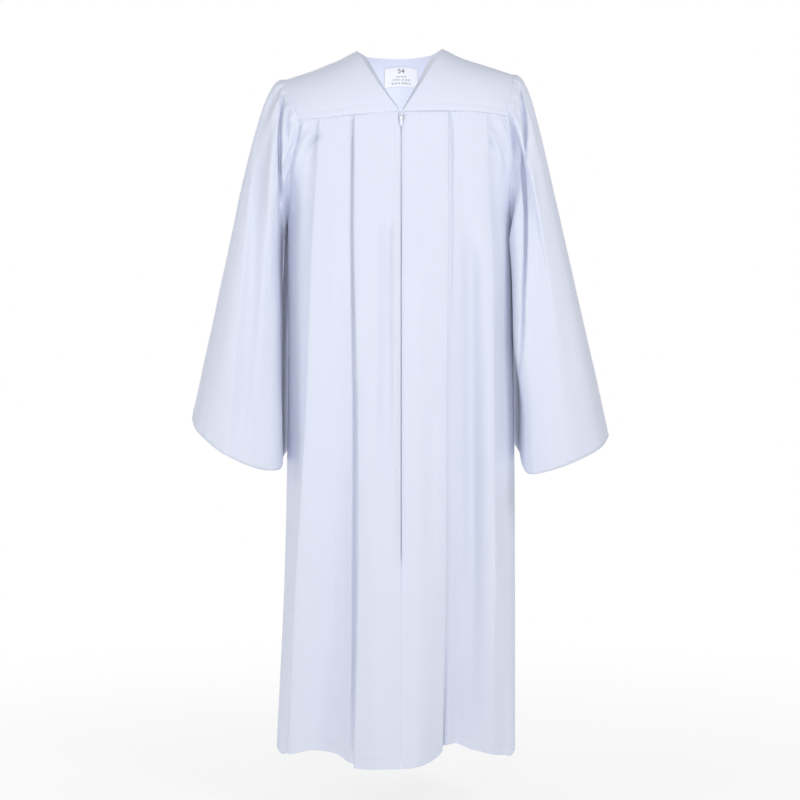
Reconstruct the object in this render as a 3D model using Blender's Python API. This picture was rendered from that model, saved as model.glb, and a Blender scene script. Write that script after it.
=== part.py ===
"""Choir robe as it hangs on a wearer, with nobody in it.

White cloth, V neck, yoked shoulders, pleated fronts, a fluted back, a front
zip and long open bell sleeves. Units are metres. +Z is up, the front faces -Y
and +X is the wearer's left. The origin is the middle of the shoulder line,
where a wearer's shoulders hold the robe.
"""
import math
from collections import namedtuple

import bmesh
import bpy
from mathutils import Vector

RIGHT, LEFT = -1, 1
FORE, AFT = -1, 1

# Cloth and seams
WALL = 0.0012
SEAM_GAP = 0.0003
SHOULDER_GAP = 0.0009
SECTION_POWER = 2.4
FRONT_YOKE_POWER = 2.2
BACK_YOKE_POWER = 2.8

# Shoulders, neck and armholes
CENTRE_X = 0.002
V_POINT_HALF = 0.0006
V_BOW = 0.006
NECK_BACK = 0.067
NECK_TURNING = 0.010
UNDERARM_Z = -0.280
BACK_YOKE_Z = -0.125

# Front opening and zip
ZIP_TOP_Z = -0.1145
ZIP_END_Z = -0.868
LIP_HALF = 0.0012
LIP_SPREAD = 0.0044
TAPE_WIDTH = 0.0125
TAPE_WALL = 0.0010
TAPE_SPARE = 0.0001
CHAIN_HALF = 0.0018
CHAIN_THICK = 0.0014

# Neck label
LABEL_WALL = 0.0010
LABEL_SPARE = 0.0003
LABEL_ROWS = (0.4, 1.0, 1.5, 2.0, 2.5)
LABEL_COLUMNS = (-1.6, -1.0, -0.5, 0.0, 0.5, 1.0, 1.8)

# Pleats: half the spacing of two pressed layers, and how far the cloth turns in round a fold
HALF_LAYER = 0.0011
FOLD_RADIUS = 0.0011

# Way down from the yoke seam (0) to the hem (1) at which the sections and folds below are given
STATIONS = (0.0, 0.175, 0.46, 0.73, 1.0)

# Body sections at those stations: half width to each side, depth forward and back
Section = namedtuple("Section", "right left fore aft")
SECTIONS = (
    Section(0.2008, 0.1998, 0.112, 0.108),
    Section(0.2008, 0.2000, 0.130, 0.124),
    Section(0.2012, 0.2044, 0.125, 0.120),
    Section(0.2070, 0.2060, 0.113, 0.124),
    Section(0.2211, 0.2062, 0.105, 0.132),
)
# How much wider the plain outline is at the yoke seam than at the underarm, before the armhole cuts it
CHEST_EASE = 0.0265

# The lines below run across the whole robe, from its right side (negative x) to its left
Height = namedtuple("Height", "x z")
SHOULDER_LINE = (
    Height(-0.2053, -0.0236), Height(-0.1530, -0.0070), Height(-0.1116, 0.0090), Height(-0.0774, 0.0264),
    Height(0.0, 0.0500), Height(0.0756, 0.0302), Height(0.1080, 0.0138), Height(0.1530, 0.0004),
    Height(0.2040, -0.0150),
)
NECK_HALF = {RIGHT: 0.0774, LEFT: 0.0756}
FRONT_YOKE_SEAM = (
    Height(-0.180, -0.1086), Height(-0.140, -0.1094), Height(-0.080, -0.1058), Height(0.002, -0.1014),
    Height(0.080, -0.0989), Height(0.147, -0.0990), Height(0.188, -0.1016),
)
FRONT_HEM = (
    Height(-0.2211, -1.2160), Height(-0.213, -1.2250), Height(-0.198, -1.2240), Height(-0.150, -1.2135),
    Height(-0.114, -1.2190), Height(-0.084, -1.2262), Height(-0.034, -1.2235), Height(0.026, -1.2208),
    Height(0.060, -1.2115), Height(0.074, -1.2030), Height(0.094, -1.2008), Height(0.124, -1.2122),
    Height(0.150, -1.2195), Height(0.187, -1.2290), Height(0.199, -1.2300), Height(0.2062, -1.2210),
)
BACK_HEM = (
    Height(-0.2211, -1.2160), Height(-0.205, -1.2235), Height(-0.120, -1.2210), Height(0.0, -1.2250),
    Height(0.120, -1.2215), Height(0.190, -1.2260), Height(0.2062, -1.2210),
)

# Armhole, by the angle round it from the shoulder tip over the front: distance out from the middle
Armhole = namedtuple("Armhole", "angle right left")
ARMHOLE = (
    Armhole(0, 0.2053, 0.2040), Armhole(25, 0.2030, 0.2020), Armhole(48, 0.1940, 0.1975),
    Armhole(70, 0.1795, 0.1885), Armhole(92, 0.1880, 0.1940), Armhole(120, 0.1950, 0.1960),
    Armhole(150, 0.1992, 0.1985), Armhole(180, 0.2008, 0.1998), Armhole(210, 0.1990, 0.1980),
    Armhole(240, 0.1930, 0.1930), Armhole(282, 0.1850, 0.1855), Armhole(320, 0.1950, 0.1945),
    Armhole(360, 0.2053, 0.2040),
)
SHOULDER_TIP_Z = {RIGHT: -0.0236, LEFT: -0.0150}

# Lines down each front: distance out from the middle, and how far they stand out, at the stations
Line = namedtuple("Line", "name x out")
FRONT_LINES = {
    RIGHT: (
        Line("lip", (0.0, 0.0, 0.0, 0.0, 0.0), (0.0, 0.003, 0.006, 0.018, 0.046)),
        Line("middle", (0.040, 0.040, 0.038, 0.038, 0.040), (0.0, 0.003, 0.007, 0.020, 0.048)),
        Line("inner pleat", (0.0793, 0.0803, 0.0735, 0.0735, 0.080), (0.0, 0.002, 0.003, 0.009, 0.030)),
        Line("hollow", (0.100, 0.102, 0.098, 0.096, 0.099), (0.0, -0.002, -0.008, -0.012, -0.018)),
        Line("plain", (0.118, 0.126, 0.130, 0.140, 0.152), (0.0, 0.001, -0.002, -0.006, -0.026)),
        Line("outer pleat", (0.140, 0.152, 0.164, 0.183, 0.199), (0.0, 0.007, 0.012, 0.012, -0.014)),
        Line("flank", (0.166, 0.186, 0.188, 0.1985, 0.213), (0.0, -0.003, -0.004, -0.002, -0.010)),
    ),
    LEFT: (
        Line("lip", (0.0, 0.0, 0.0, 0.0, 0.0), (0.0, 0.003, 0.006, 0.018, 0.046)),
        Line("middle", (0.036, 0.036, 0.034, 0.034, 0.036), (0.0, 0.003, 0.007, 0.020, 0.042)),
        Line("inner pleat", (0.0822, 0.0822, 0.0787, 0.0782, 0.0716), (0.0, 0.002, 0.002, 0.006, 0.008)),
        Line("hollow", (0.102, 0.105, 0.108, 0.106, 0.093), (0.0, -0.003, -0.008, -0.014, -0.034)),
        Line("plain", (0.125, 0.128, 0.129, 0.133, 0.124), (0.0, -0.002, -0.013, -0.019, -0.036)),
        Line("outer pleat", (0.1505, 0.158, 0.163, 0.165, 0.160), (0.0, 0.008, 0.010, 0.008, -0.024)),
        Line("flank", (0.172, 0.187, 0.189, 0.190, 0.190), (0.0, -0.002, -0.001, -0.002, -0.022)),
    ),
}

# Pleats, at ways of their own: how far the cloth is folded under (below 0: opened out), how far its
# layers part, and the spacing of the layers against freshly pressed ones
Pleat = namedtuple("Pleat", "ways under part layers")
PLEATS = {
    (RIGHT, "inner pleat"): Pleat(
        (0.0, 0.3, 0.6, 0.85, 1.0), (0.022, 0.021, 0.020, 0.018, 0.015),
        (0.0, 0.0, 0.002, 0.007, 0.013), (1.0, 1.0, 1.1, 1.4, 1.6),
    ),
    (RIGHT, "outer pleat"): Pleat(
        (0.0, 0.03, 0.06, 0.10, 0.20, 1.0), (0.016, 0.011, 0.003, -0.004, -0.006, -0.002),
        (0.0, 0.003, 0.006, 0.005, 0.0, 0.0), (1.0, 1.0, 1.0, 0.7, 0.0, 0.0),
    ),
    (LEFT, "inner pleat"): Pleat(
        (0.0, 0.3, 0.6, 0.85, 1.0), (0.022, 0.021, 0.020, 0.017, 0.014),
        (0.0, 0.0, 0.002, 0.010, 0.024), (1.0, 1.0, 1.2, 1.7, 2.2),
    ),
    (LEFT, "outer pleat"): Pleat(
        (0.0, 0.03, 0.06, 0.10, 0.20, 1.0), (0.016, 0.011, 0.003, -0.004, -0.006, -0.004),
        (0.0, 0.003, 0.006, 0.005, 0.0, 0.0), (1.0, 1.0, 1.0, 0.7, 0.0, 0.0),
    ),
}

# Flutes of the back: place at the yoke seam and at the hem, and how far each stands out on the way
Flute = namedtuple("Flute", "x_seam x_hem chest waist knee hem")
FLUTES = (
    Flute(-0.152, -0.172, -0.002, -0.005, -0.008, -0.012), Flute(-0.130, -0.142, 0.004, 0.008, 0.012, 0.017),
    Flute(-0.108, -0.114, -0.004, -0.008, -0.011, -0.013), Flute(-0.085, -0.087, 0.004, 0.007, 0.010, 0.013),
    Flute(-0.063, -0.067, -0.004, -0.009, -0.011, -0.012), Flute(-0.040, -0.039, 0.005, 0.010, 0.014, 0.019),
    Flute(-0.018, -0.016, -0.004, -0.007, -0.009, -0.011), Flute(0.004, 0.006, 0.003, 0.006, 0.010, 0.014),
    Flute(0.025, 0.030, -0.004, -0.009, -0.012, -0.015), Flute(0.048, 0.052, 0.005, 0.010, 0.013, 0.017),
    Flute(0.071, 0.076, -0.003, -0.007, -0.010, -0.013), Flute(0.092, 0.097, 0.004, 0.006, 0.009, 0.012),
    Flute(0.112, 0.118, -0.004, -0.009, -0.012, -0.015), Flute(0.134, 0.140, 0.005, 0.009, 0.012, 0.016),
    Flute(0.155, 0.165, -0.002, -0.005, -0.007, -0.010),
)

# Sleeves, by the angle round the armhole: how far the cloth puffs out, forward and up from the seam,
# and where the cuff's edge lies
Meridian = namedtuple("Meridian", "angle puff_out puff_fore puff_up cuff_out cuff_fore cuff_z")
SLEEVES = {
    RIGHT: (
        Meridian(0, 0.034, 0.000, 0.018, 0.3750, 0.000, -0.632),
        Meridian(40, 0.032, 0.006, 0.012, 0.3520, 0.080, -0.655),
        Meridian(75, 0.024, 0.012, 0.000, 0.3040, 0.116, -0.690),
        Meridian(110, 0.018, 0.016, 0.000, 0.2480, 0.116, -0.715),
        Meridian(140, 0.013, 0.012, 0.000, 0.2125, 0.098, -0.719),
        Meridian(180, 0.009, 0.000, 0.000, 0.2100, 0.000, -0.700),
        Meridian(220, 0.006, -0.010, 0.000, 0.2110, -0.090, -0.683),
        Meridian(250, 0.012, -0.014, 0.000, 0.2440, -0.118, -0.676),
        Meridian(285, 0.022, -0.012, 0.000, 0.3000, -0.120, -0.658),
        Meridian(322, 0.031, -0.006, 0.012, 0.3500, -0.082, -0.636),
        Meridian(360, 0.034, 0.000, 0.018, 0.3750, 0.000, -0.632),
    ),
    LEFT: (
        Meridian(0, 0.024, 0.000, 0.016, 0.3750, 0.000, -0.662),
        Meridian(40, 0.025, 0.006, 0.010, 0.3490, 0.082, -0.682),
        Meridian(75, 0.022, 0.012, 0.000, 0.3015, 0.116, -0.704),
        Meridian(110, 0.018, 0.016, 0.000, 0.2520, 0.116, -0.721),
        Meridian(140, 0.016, 0.012, 0.000, 0.2220, 0.096, -0.725),
        Meridian(180, 0.009, 0.000, 0.000, 0.2150, 0.000, -0.690),
        Meridian(220, 0.006, -0.010, 0.000, 0.2110, -0.090, -0.672),
        Meridian(250, 0.012, -0.014, 0.000, 0.2440, -0.118, -0.674),
        Meridian(285, 0.020, -0.012, 0.000, 0.2975, -0.120, -0.668),
        Meridian(322, 0.024, -0.006, 0.010, 0.3470, -0.082, -0.660),
        Meridian(360, 0.024, 0.000, 0.016, 0.3750, 0.000, -0.662),
    ),
}
# The puff comes quickly over the gathers, then slowly down the sleeve: the two reaches and the quick share
PUFF_QUICK = 0.010
PUFF_SLOW = 0.12
PUFF_QUICK_SHARE = 0.25

# Folds of the sleeves: angle at the armhole and at the cuff, depth, half width, and where they end
Fold = namedtuple("Fold", "armhole cuff depth width end")
SLEEVE_FOLDS = {
    RIGHT: (
        Fold(7.5, 14, 0.0035, 10, 0.40), Fold(22.5, 30, 0.0045, 10, 0.75), Fold(45, 58, 0.0040, 10, 0.30),
        Fold(60, 84, 0.0045, 10, 0.55), Fold(82.5, 100, 0.0035, 10, 0.22), Fold(105, 118, 0.0030, 11, 0.20),
        Fold(337.5, 335, 0.0040, 10, 0.50), Fold(315, 310, 0.0045, 10, 0.80),
        Fold(300, 292, 0.0035, 10, 0.35), Fold(277.5, 268, 0.0040, 10, 0.60),
        Fold(255, 250, 0.0030, 11, 0.25),
    ),
    LEFT: (
        Fold(7.5, 12, 0.0035, 10, 0.35), Fold(30, 36, 0.0040, 10, 0.45), Fold(45, 54, 0.0045, 10, 0.70),
        Fold(67.5, 80, 0.0040, 10, 0.30), Fold(82.5, 104, 0.0045, 10, 0.55), Fold(105, 120, 0.0030, 11, 0.22),
        Fold(345, 342, 0.0040, 10, 0.40), Fold(322.5, 318, 0.0045, 10, 0.75),
        Fold(300, 290, 0.0035, 10, 0.30), Fold(277.5, 266, 0.0045, 10, 0.65),
        Fold(255, 248, 0.0030, 11, 0.25),
    ),
}

# How finely each piece is divided
ARMHOLE_ROWS = 8
BODY_ROWS = 9
YOKE_ROWS = 7
SLEEVE_COLUMNS = 48
SLEEVE_ROWS = (0.0, 0.012, 0.03, 0.055, 0.09, 0.14, 0.21, 0.31, 0.44, 0.58, 0.73, 0.87, 1.0)


# Curves

def through(places, values, at):
    """A smooth curve through the values given at rising places, read at one place."""
    last = len(places) - 1
    at = min(max(at, places[0]), places[last])
    step = 0
    while step < last - 1 and at > places[step + 1]:
        step += 1
    slopes = [(values[i + 1] - values[i]) / (places[i + 1] - places[i]) for i in range(last)]

    def tangent(i):
        if i == 0:
            return slopes[0]
        if i == last:
            return slopes[last - 1]
        before = places[i] - places[i - 1]
        after = places[i + 1] - places[i]
        return (slopes[i - 1] * after + slopes[i] * before) / (before + after)

    span = places[step + 1] - places[step]
    part = (at - places[step]) / span
    rise = values[step + 1] - values[step]
    start = tangent(step) * span
    end = tangent(step + 1) * span
    return (values[step] + part * start + part ** 2 * (3 * rise - 2 * start - end)
            + part ** 3 * (start + end - 2 * rise))


def column_of(table, place, value, at):
    """Read one named column of a table against another."""
    places = [getattr(row, place) for row in table]
    values = [getattr(row, value) for row in table]
    return through(places, values, at)


def height(table, x):
    return column_of(table, "x", "z", x)


def blend(start, end, share):
    return start + (end - start) * share


def bump(distance, width):
    """A soft hill one high: one at its middle, nothing from the width on."""
    share = min(abs(distance) / width, 1.0)
    return (1 - share ** 2) ** 2


# Body outline

def seam_height(fore, x):
    return height(FRONT_YOKE_SEAM, x) if fore == FORE else BACK_YOKE_Z


def hem_height(fore, x):
    return height(FRONT_HEM if fore == FORE else BACK_HEM, x)


def armhole_out(side, angle):
    return column_of(ARMHOLE, "angle", "right" if side == RIGHT else "left", angle % 360)


def armhole_height(side, angle):
    """Height round the armhole: from the shoulder tip (0) over the front, the underarm and the back."""
    share = (1 - math.cos(math.radians(angle))) / 2
    return blend(SHOULDER_TIP_Z[side], UNDERARM_Z, share)


def armhole_angle(side, z):
    """The angle on the front half at which the armhole seam is at a height."""
    share = (SHOULDER_TIP_Z[side] - z) / (SHOULDER_TIP_Z[side] - UNDERARM_Z)
    return math.degrees(math.acos(1 - 2 * min(max(share, 0.0), 1.0)))


def corner_angle(side, fore):
    """How far round the armhole the yoke seam meets it, on the front or on the back."""
    angle = 70.0
    for _ in range(20):
        out = armhole_out(side, angle if fore == FORE else -angle)
        angle = armhole_angle(side, seam_height(fore, side * out))
    return angle


CORNERS = {(side, fore): corner_angle(side, fore) for side in (RIGHT, LEFT) for fore in (FORE, AFT)}


def corner_out(side, fore):
    angle = CORNERS[side, fore]
    return armhole_out(side, angle if fore == FORE else -angle)


def half_width(side, way):
    values = [section.right if side == RIGHT else section.left for section in SECTIONS]
    return through(STATIONS, values, way)


def edge_ends(side, fore):
    """Heights of a panel's outer edge at the yoke's corner and at the hem."""
    top = seam_height(fore, side * corner_out(side, fore))
    return top, hem_height(fore, side * half_width(side, 1.0))


def way_of_height(side, fore, z):
    top, hem = edge_ends(side, fore)
    return (top - z) / (top - hem)


class Outline:
    """The plain outline of one quarter of the body at one way down, before folds."""

    def __init__(self, side, fore, way):
        self.side, self.fore, self.way = side, fore, way
        depths = [section.fore if fore == FORE else section.aft for section in SECTIONS]
        self.depth = through(STATIONS, depths, way)
        underarm = way_of_height(side, fore, UNDERARM_Z)
        share = min(max(way / underarm, 0.0), 1.0)
        self.half = half_width(side, way) + CHEST_EASE * (1 - share) ** 2 * (1 + 2 * share)
        self.edge_out = self.half
        if way < underarm:
            z = blend(*edge_ends(side, fore), way)
            angle = armhole_angle(side, z)
            self.edge_out = armhole_out(side, angle if fore == FORE else -angle)
        self.seam_out = corner_out(side, fore)
        self.hem_out = half_width(side, 1.0)

    def reach(self, out):
        """Depth of the outline at a distance out."""
        share = min(max(out, 0.0) / self.half, 1.0)
        return self.depth * (1 - share ** SECTION_POWER) ** (1 / SECTION_POWER)

    def turn(self, out):
        """The angle round the quarter at a distance out."""
        return math.asin(min((out / self.half) ** (SECTION_POWER / 2), 1.0))

    def out_at(self, turn):
        return self.half * math.sin(turn) ** (2 / SECTION_POWER)

    def level(self, out):
        """Height of the cloth at a distance out."""
        share = out / self.edge_out
        top = seam_height(self.fore, self.side * share * self.seam_out) - SEAM_GAP / 2
        hem = hem_height(self.fore, self.side * share * self.hem_out)
        return blend(top, hem, self.way)

    def point(self, out, stand):
        """A point of the cloth, standing out from the plain outline towards the front or the back."""
        away = self.reach(out) + stand
        centre = CENTRE_X * (1 - out / self.edge_out) if self.fore == FORE else 0.0
        return Vector((centre + self.side * out, self.fore * (away + SEAM_GAP / 2), self.level(out)))


def ridge_height(side, fore, out):
    """Height of the shoulder line; the front yokes stay level inside the neck's corner."""
    return height(SHOULDER_LINE, side * (max(out, NECK_HALF[side]) if fore == FORE else out))


def yoke_way(side, fore, out, z):
    """The way down the yoke's surface, from the shoulder line (0) to the yoke seam (1), at a height."""
    power = FRONT_YOKE_POWER if fore == FORE else BACK_YOKE_POWER
    seam = seam_height(fore, side * out)
    ridge = ridge_height(side, fore, out)
    drop = min(max((z - seam) / (ridge - seam), 0.0), 1.0)
    return math.acos(drop ** (power / 2)) / (math.pi / 2)


def armhole_point(side, angle):
    """A point of the armhole seam, on the surface that the yokes and the panels share."""
    fore = FORE if angle % 360 < 180 else AFT
    out = armhole_out(side, angle)
    z = armhole_height(side, angle)
    turned = min(angle % 360, 360 - angle % 360)
    if turned <= CORNERS[side, fore]:
        power = FRONT_YOKE_POWER if fore == FORE else BACK_YOKE_POWER
        turn = yoke_way(side, fore, out, z) * math.pi / 2
        away = Outline(side, fore, 0.0).reach(out) * math.sin(turn) ** (2 / power)
    else:
        away = Outline(side, fore, way_of_height(side, fore, z)).reach(out)
    return Vector((side * out, fore * away, z))


# Front panels

def front_way(z):
    """The way down at which the front's middle is at a height."""
    top = seam_height(FORE, CENTRE_X)
    return (top - z) / (top - hem_height(FORE, CENTRE_X))


# Where the opening between the fronts changes: below the slider, at the zip's end, at the hem's slit
SPREAD_END = front_way(ZIP_TOP_Z)
LIPS_CLOSE = front_way(ZIP_TOP_Z - 0.015)
ZIP_END = front_way(ZIP_END_Z)
SEAM_START = front_way(ZIP_END_Z - 0.014)
SLIT_START = front_way(hem_height(FORE, CENTRE_X) + 0.016)


def lip_place(way):
    """Half the opening between the two fronts: the slider's, the zip's, the closed seam's and the slit's."""
    places = (0.0, SPREAD_END, LIPS_CLOSE, ZIP_END, SEAM_START, SLIT_START, 1.0)
    closed = SEAM_GAP / 2
    widths = (LIP_SPREAD, LIP_SPREAD, LIP_HALF, LIP_HALF, closed, closed, 0.0008)
    for start in range(len(places) - 1):
        if way <= places[start + 1]:
            share = (way - places[start]) / (places[start + 1] - places[start])
            return blend(widths[start], widths[start + 1], share)
    return widths[-1]


class FrontRow:
    """One row of a front panel, at one way down from the yoke seam."""

    def __init__(self, side, way):
        self.side, self.way = side, way
        self.outline = Outline(side, FORE, way)
        self.lines = {line.name: through(STATIONS, line.x, way) for line in FRONT_LINES[side]}
        self.lines["lip"] = lip_place(way)
        self.places = [through(STATIONS, line.x, way) for line in FRONT_LINES[side]] + [self.outline.half]
        self.stands = [through(STATIONS, line.out, way) for line in FRONT_LINES[side]] + [0.0]
        names = [line.name for line in FRONT_LINES[side]]
        self.breaks = [names.index("inner pleat"), names.index("outer pleat"), len(names)]

    def stand(self, out):
        """How far the top layer stands out at a distance out; the curve starts afresh at each pleat."""
        start = 0
        for end in self.breaks:
            if out <= self.places[end] or end == self.breaks[-1]:
                return through(self.places[start:end + 1], self.stands[start:end + 1], out)
            start = end

    def point(self, out, under=0.0):
        return self.outline.point(out, self.stand(out) - under)

    def spread(self, start, end, steps):
        """Points of the top layer from one distance out to another, without the last."""
        return [self.point(blend(start, end, step / steps)) for step in range(steps)]

    def pleat(self, name):
        """The points of one pleat: its edge, the cloth folded under, and the layer below."""
        edge = self.lines[name]
        shape = PLEATS[self.side, name]
        under = through(shape.ways, shape.under, self.way)
        part = through(shape.ways, shape.part, self.way)
        layer = HALF_LAYER * through(shape.ways, shape.layers, self.way)
        radius = FOLD_RADIUS * min(max(under / 0.006, -1.0), 1.0)
        inner = edge - under
        end = max(edge + 0.003, inner + 0.006)
        ease = 4 * layer + part
        return [
            self.point(edge - FOLD_RADIUS),
            self.point(edge, layer),
            self.point(edge - radius, 2 * layer),
            self.point(inner + radius, 2 * layer + part / 2),
            self.point(inner, 3 * layer + part / 2),
            self.point(inner + FOLD_RADIUS, 4 * layer + part / 2),
            self.point(end, ease),
        ], end, ease

    def easing(self, start, end, ease, steps):
        """Points beyond a pleat, where the lower layer comes back up to the surface."""
        shares = [step / steps for step in range(1, steps + 1)]
        return [self.point(blend(start, end, share), ease * (1 - share) ** 2) for share in shares]

    def points(self):
        row = self.spread(self.lines["lip"], self.lines["middle"], 2)
        inner_edge = self.lines["inner pleat"] - FOLD_RADIUS
        row += self.spread(self.lines["middle"], inner_edge, 2)
        fold, end, ease = self.pleat("inner pleat")
        row += fold + self.easing(end, self.lines["hollow"], ease, 2)
        row += self.spread(self.lines["hollow"], self.lines["plain"], 2)[1:]
        outer_edge = self.lines["outer pleat"] - FOLD_RADIUS
        row += self.spread(self.lines["plain"], outer_edge, 2)
        fold, end, ease = self.pleat("outer pleat")
        row += fold + self.easing(end, self.lines["flank"], ease, 2)
        start = self.outline.turn(self.lines["flank"])
        finish = self.outline.turn(self.outline.edge_out)
        turns = [blend(start, finish, step / 4) for step in range(1, 5)]
        row += [self.point(self.outline.out_at(turn)) for turn in turns[:-1]]
        row.append(self.outline.point(self.outline.edge_out, 0.0))
        return row


def panel_ways(fore, needed):
    """Ways down at which both sides of a panel have a row: round the armhole, then evenly to the hem."""
    corner = CORNERS[RIGHT, fore]
    angles = [blend(corner, 180.0, step / ARMHOLE_ROWS) for step in range(1, ARMHOLE_ROWS)]
    ways = [way_of_height(RIGHT, fore, armhole_height(RIGHT, angle)) for angle in angles]
    needed = [0.0, 1.0] + [way_of_height(side, fore, UNDERARM_Z) for side in (RIGHT, LEFT)] + needed
    start = max(needed[2:4])
    ways += [ways[0] / 2] + [blend(start, 1.0, step / BODY_ROWS) for step in range(1, BODY_ROWS)]
    clear = [way for way in ways if min(abs(way - place) for place in needed) > 0.006]
    return sorted(needed + clear)


FRONT_WAYS = panel_ways(FORE, [SPREAD_END, LIPS_CLOSE, ZIP_END, SEAM_START, SLIT_START])
BACK_WAYS = panel_ways(AFT, [])


def front_rows(side):
    return [FrontRow(side, way).points() for way in FRONT_WAYS]


# Back panel

def back_stand(side, way, x):
    """How far the back's flutes stand out at a signed x."""
    places = [blend(flute.x_seam, flute.x_hem, way) for flute in FLUTES]
    stands = [
        through(STATIONS, (0.0, flute.chest, flute.waist, flute.knee, flute.hem), way) for flute in FLUTES
    ]
    ends = [-half_width(RIGHT, way), half_width(LEFT, way)]
    places = [ends[0]] + places + [ends[1]]
    return through(places, [0.0] + stands + [0.0], x)


def back_row(way):
    outlines = {side: Outline(side, AFT, way) for side in (RIGHT, LEFT)}
    inside = [blend(flute.x_seam, flute.x_hem, way) for flute in FLUTES]
    between = [blend(a, b, share) for a, b in zip(inside, inside[1:]) for share in (0.28, 0.72)]
    inside = sorted(inside + between)

    def side_points(side):
        outline = outlines[side]
        start = outline.turn(abs(inside[0] if side == RIGHT else inside[-1]))
        finish = outline.turn(outline.edge_out)
        outs = [outline.out_at(blend(start, finish, step / 4)) for step in range(1, 4)]
        points = [outline.point(out, back_stand(side, way, side * out)) for out in outs]
        return points + [outline.point(outline.edge_out, 0.0)]

    row = list(reversed(side_points(RIGHT)))
    for x in inside:
        outline = outlines[RIGHT if x < 0 else LEFT]
        row.append(outline.point(abs(x), back_stand(outline.side, way, x)))
    return row + side_points(LEFT)


def back_rows():
    return [back_row(way) for way in BACK_WAYS]


# Yokes

def yoke_point(side, fore, out, way):
    """A point of the yoke's surface: way 0 is the shoulder line, 1 the yoke seam."""
    power = FRONT_YOKE_POWER if fore == FORE else BACK_YOKE_POWER
    turn = way * math.pi / 2
    reach = math.sin(turn) ** (2 / power)
    drop = max(math.cos(turn), 0.0) ** (2 / power)
    away = Outline(side, fore, 0.0).reach(out) * reach + blend(SHOULDER_GAP, SEAM_GAP, way) / 2
    seam = seam_height(fore, side * out) + SEAM_GAP / 2
    ridge = ridge_height(side, fore, out)
    return Vector((side * out, fore * away, blend(seam, ridge, drop)))


def yoke_steps(side, fore):
    """For each row of a yoke, how far out its armhole edge lies, and the row's way down."""
    steps = []
    for step in range(YOKE_ROWS + 1):
        angle = CORNERS[side, fore] * step / YOKE_ROWS
        turned = angle if fore == FORE else -angle
        out = armhole_out(side, turned)
        steps.append((out, yoke_way(side, fore, out, armhole_height(side, angle))))
    return steps


def front_yoke_rows(side):
    """Rows run down from the shoulder; columns run out from the V, whose edge is turned in."""
    rows = []
    for outer, way in yoke_steps(side, FORE):
        drop = max(math.cos(way * math.pi / 2), 0.0) ** (2 / FRONT_YOKE_POWER)
        inner = blend(V_POINT_HALF, NECK_HALF[side], drop) + V_BOW * 4 * drop * (1 - drop)
        centre = CENTRE_X * (1 - drop)
        edge = yoke_point(side, FORE, inner, way) + Vector((centre, 0, 0))
        turned = NECK_TURNING * drop
        back = edge + Vector((-side * turned * 0.8, 0.003 + turned * 0.7, -turned * 0.25))
        row = [back, edge.lerp(back, 0.35)]
        for step in range(9):
            point = yoke_point(side, FORE, blend(inner, outer, step / 8), way)
            point.x += centre * (1 - step / 8)
            row.append(point)
        rows.append(row)
    return rows


def neck_way(side, out):
    """The way at which the back neck edge crosses the yoke's surface."""
    if out >= NECK_HALF[side]:
        return 0.0
    reach = NECK_BACK * math.sqrt(1 - (out / NECK_HALF[side]) ** 2)
    deep = Outline(side, AFT, 0.0).reach(out)
    return 2 / math.pi * math.asin((reach / deep) ** (BACK_YOKE_POWER / 2))


def back_yoke_shares(side):
    """Shares of the half width at which the back yoke has a column, closer near the neck's corner."""
    neck = NECK_HALF[side] / armhole_out(side, 0)
    inside = [neck * math.sin(step / 7 * math.pi / 2) for step in range(8)]
    outside = [blend(neck, 1.0, step / 6) for step in range(1, 7)]
    return inside + outside


def back_yoke_columns(side):
    """Columns of one half, from the neck edge or the shoulder line down to the yoke seam."""
    columns = []
    for share in back_yoke_shares(side):
        column = []
        for outer, way in yoke_steps(side, AFT):
            out = share * outer
            column.append(yoke_point(side, AFT, out, blend(neck_way(side, out), 1.0, way)))
        columns.append(column)
    return columns


def back_yoke_rows():
    columns = list(reversed(back_yoke_columns(RIGHT))) + back_yoke_columns(LEFT)[1:]
    return [[column[step] for column in columns] for step in range(YOKE_ROWS + 1)]


# Sleeves

def sleeve_plain(side, angle, way):
    """The sleeve before its folds: way 0 is the armhole seam, 1 the cuff's edge."""
    angle = angle % 360
    row = {name: column_of(SLEEVES[side], "angle", name, angle) for name in Meridian._fields[1:]}
    lowering = math.sin(math.radians(angle) / 2) ** 2
    start = armhole_point(side, angle)
    start.x += side * (SEAM_GAP + WALL * blend(0.5, 1.1, lowering))
    cuff = Vector((side * row["cuff_out"], -row["cuff_fore"], row["cuff_z"]))
    puff = Vector((side * row["puff_out"], -row["puff_fore"], row["puff_up"]))
    grown = blend(1 - math.exp(-way / PUFF_SLOW), 1 - math.exp(-way / PUFF_QUICK), PUFF_QUICK_SHARE)
    return start.lerp(cuff, way) + puff * (grown * (1 - way))


def sleeve_normal(side, angle, way):
    step = 0.004
    low, high = max(way - step, 0.0), min(way + step, 1.0)
    along = sleeve_plain(side, angle, high) - sleeve_plain(side, angle, low)
    round_it = sleeve_plain(side, angle + 1.0, way) - sleeve_plain(side, angle - 1.0, way)
    return (along.cross(round_it) * side).normalized()


def sleeve_fold(side, angle, way):
    """How deep the folds draw the sleeve in at a place."""
    total = 0.0
    for fold in SLEEVE_FOLDS[side]:
        middle = blend(fold.armhole, fold.cuff, way)
        away = (angle - middle + 180) % 360 - 180
        grown = 1 - math.exp(-way / 0.015)
        fade = max(1 - way / fold.end, 0.0)
        total += fold.depth * grown * fade * bump(away, fold.width + 14 * way)
    return total


def sleeve_rows(side):
    rows = []
    for way in SLEEVE_ROWS:
        row = []
        for step in range(SLEEVE_COLUMNS):
            angle = 360 * step / SLEEVE_COLUMNS
            inward = -sleeve_normal(side, angle, way)
            row.append(sleeve_plain(side, angle, way) + inward * sleeve_fold(side, angle, way))
        rows.append(row)
    return rows


# Blender objects

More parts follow.
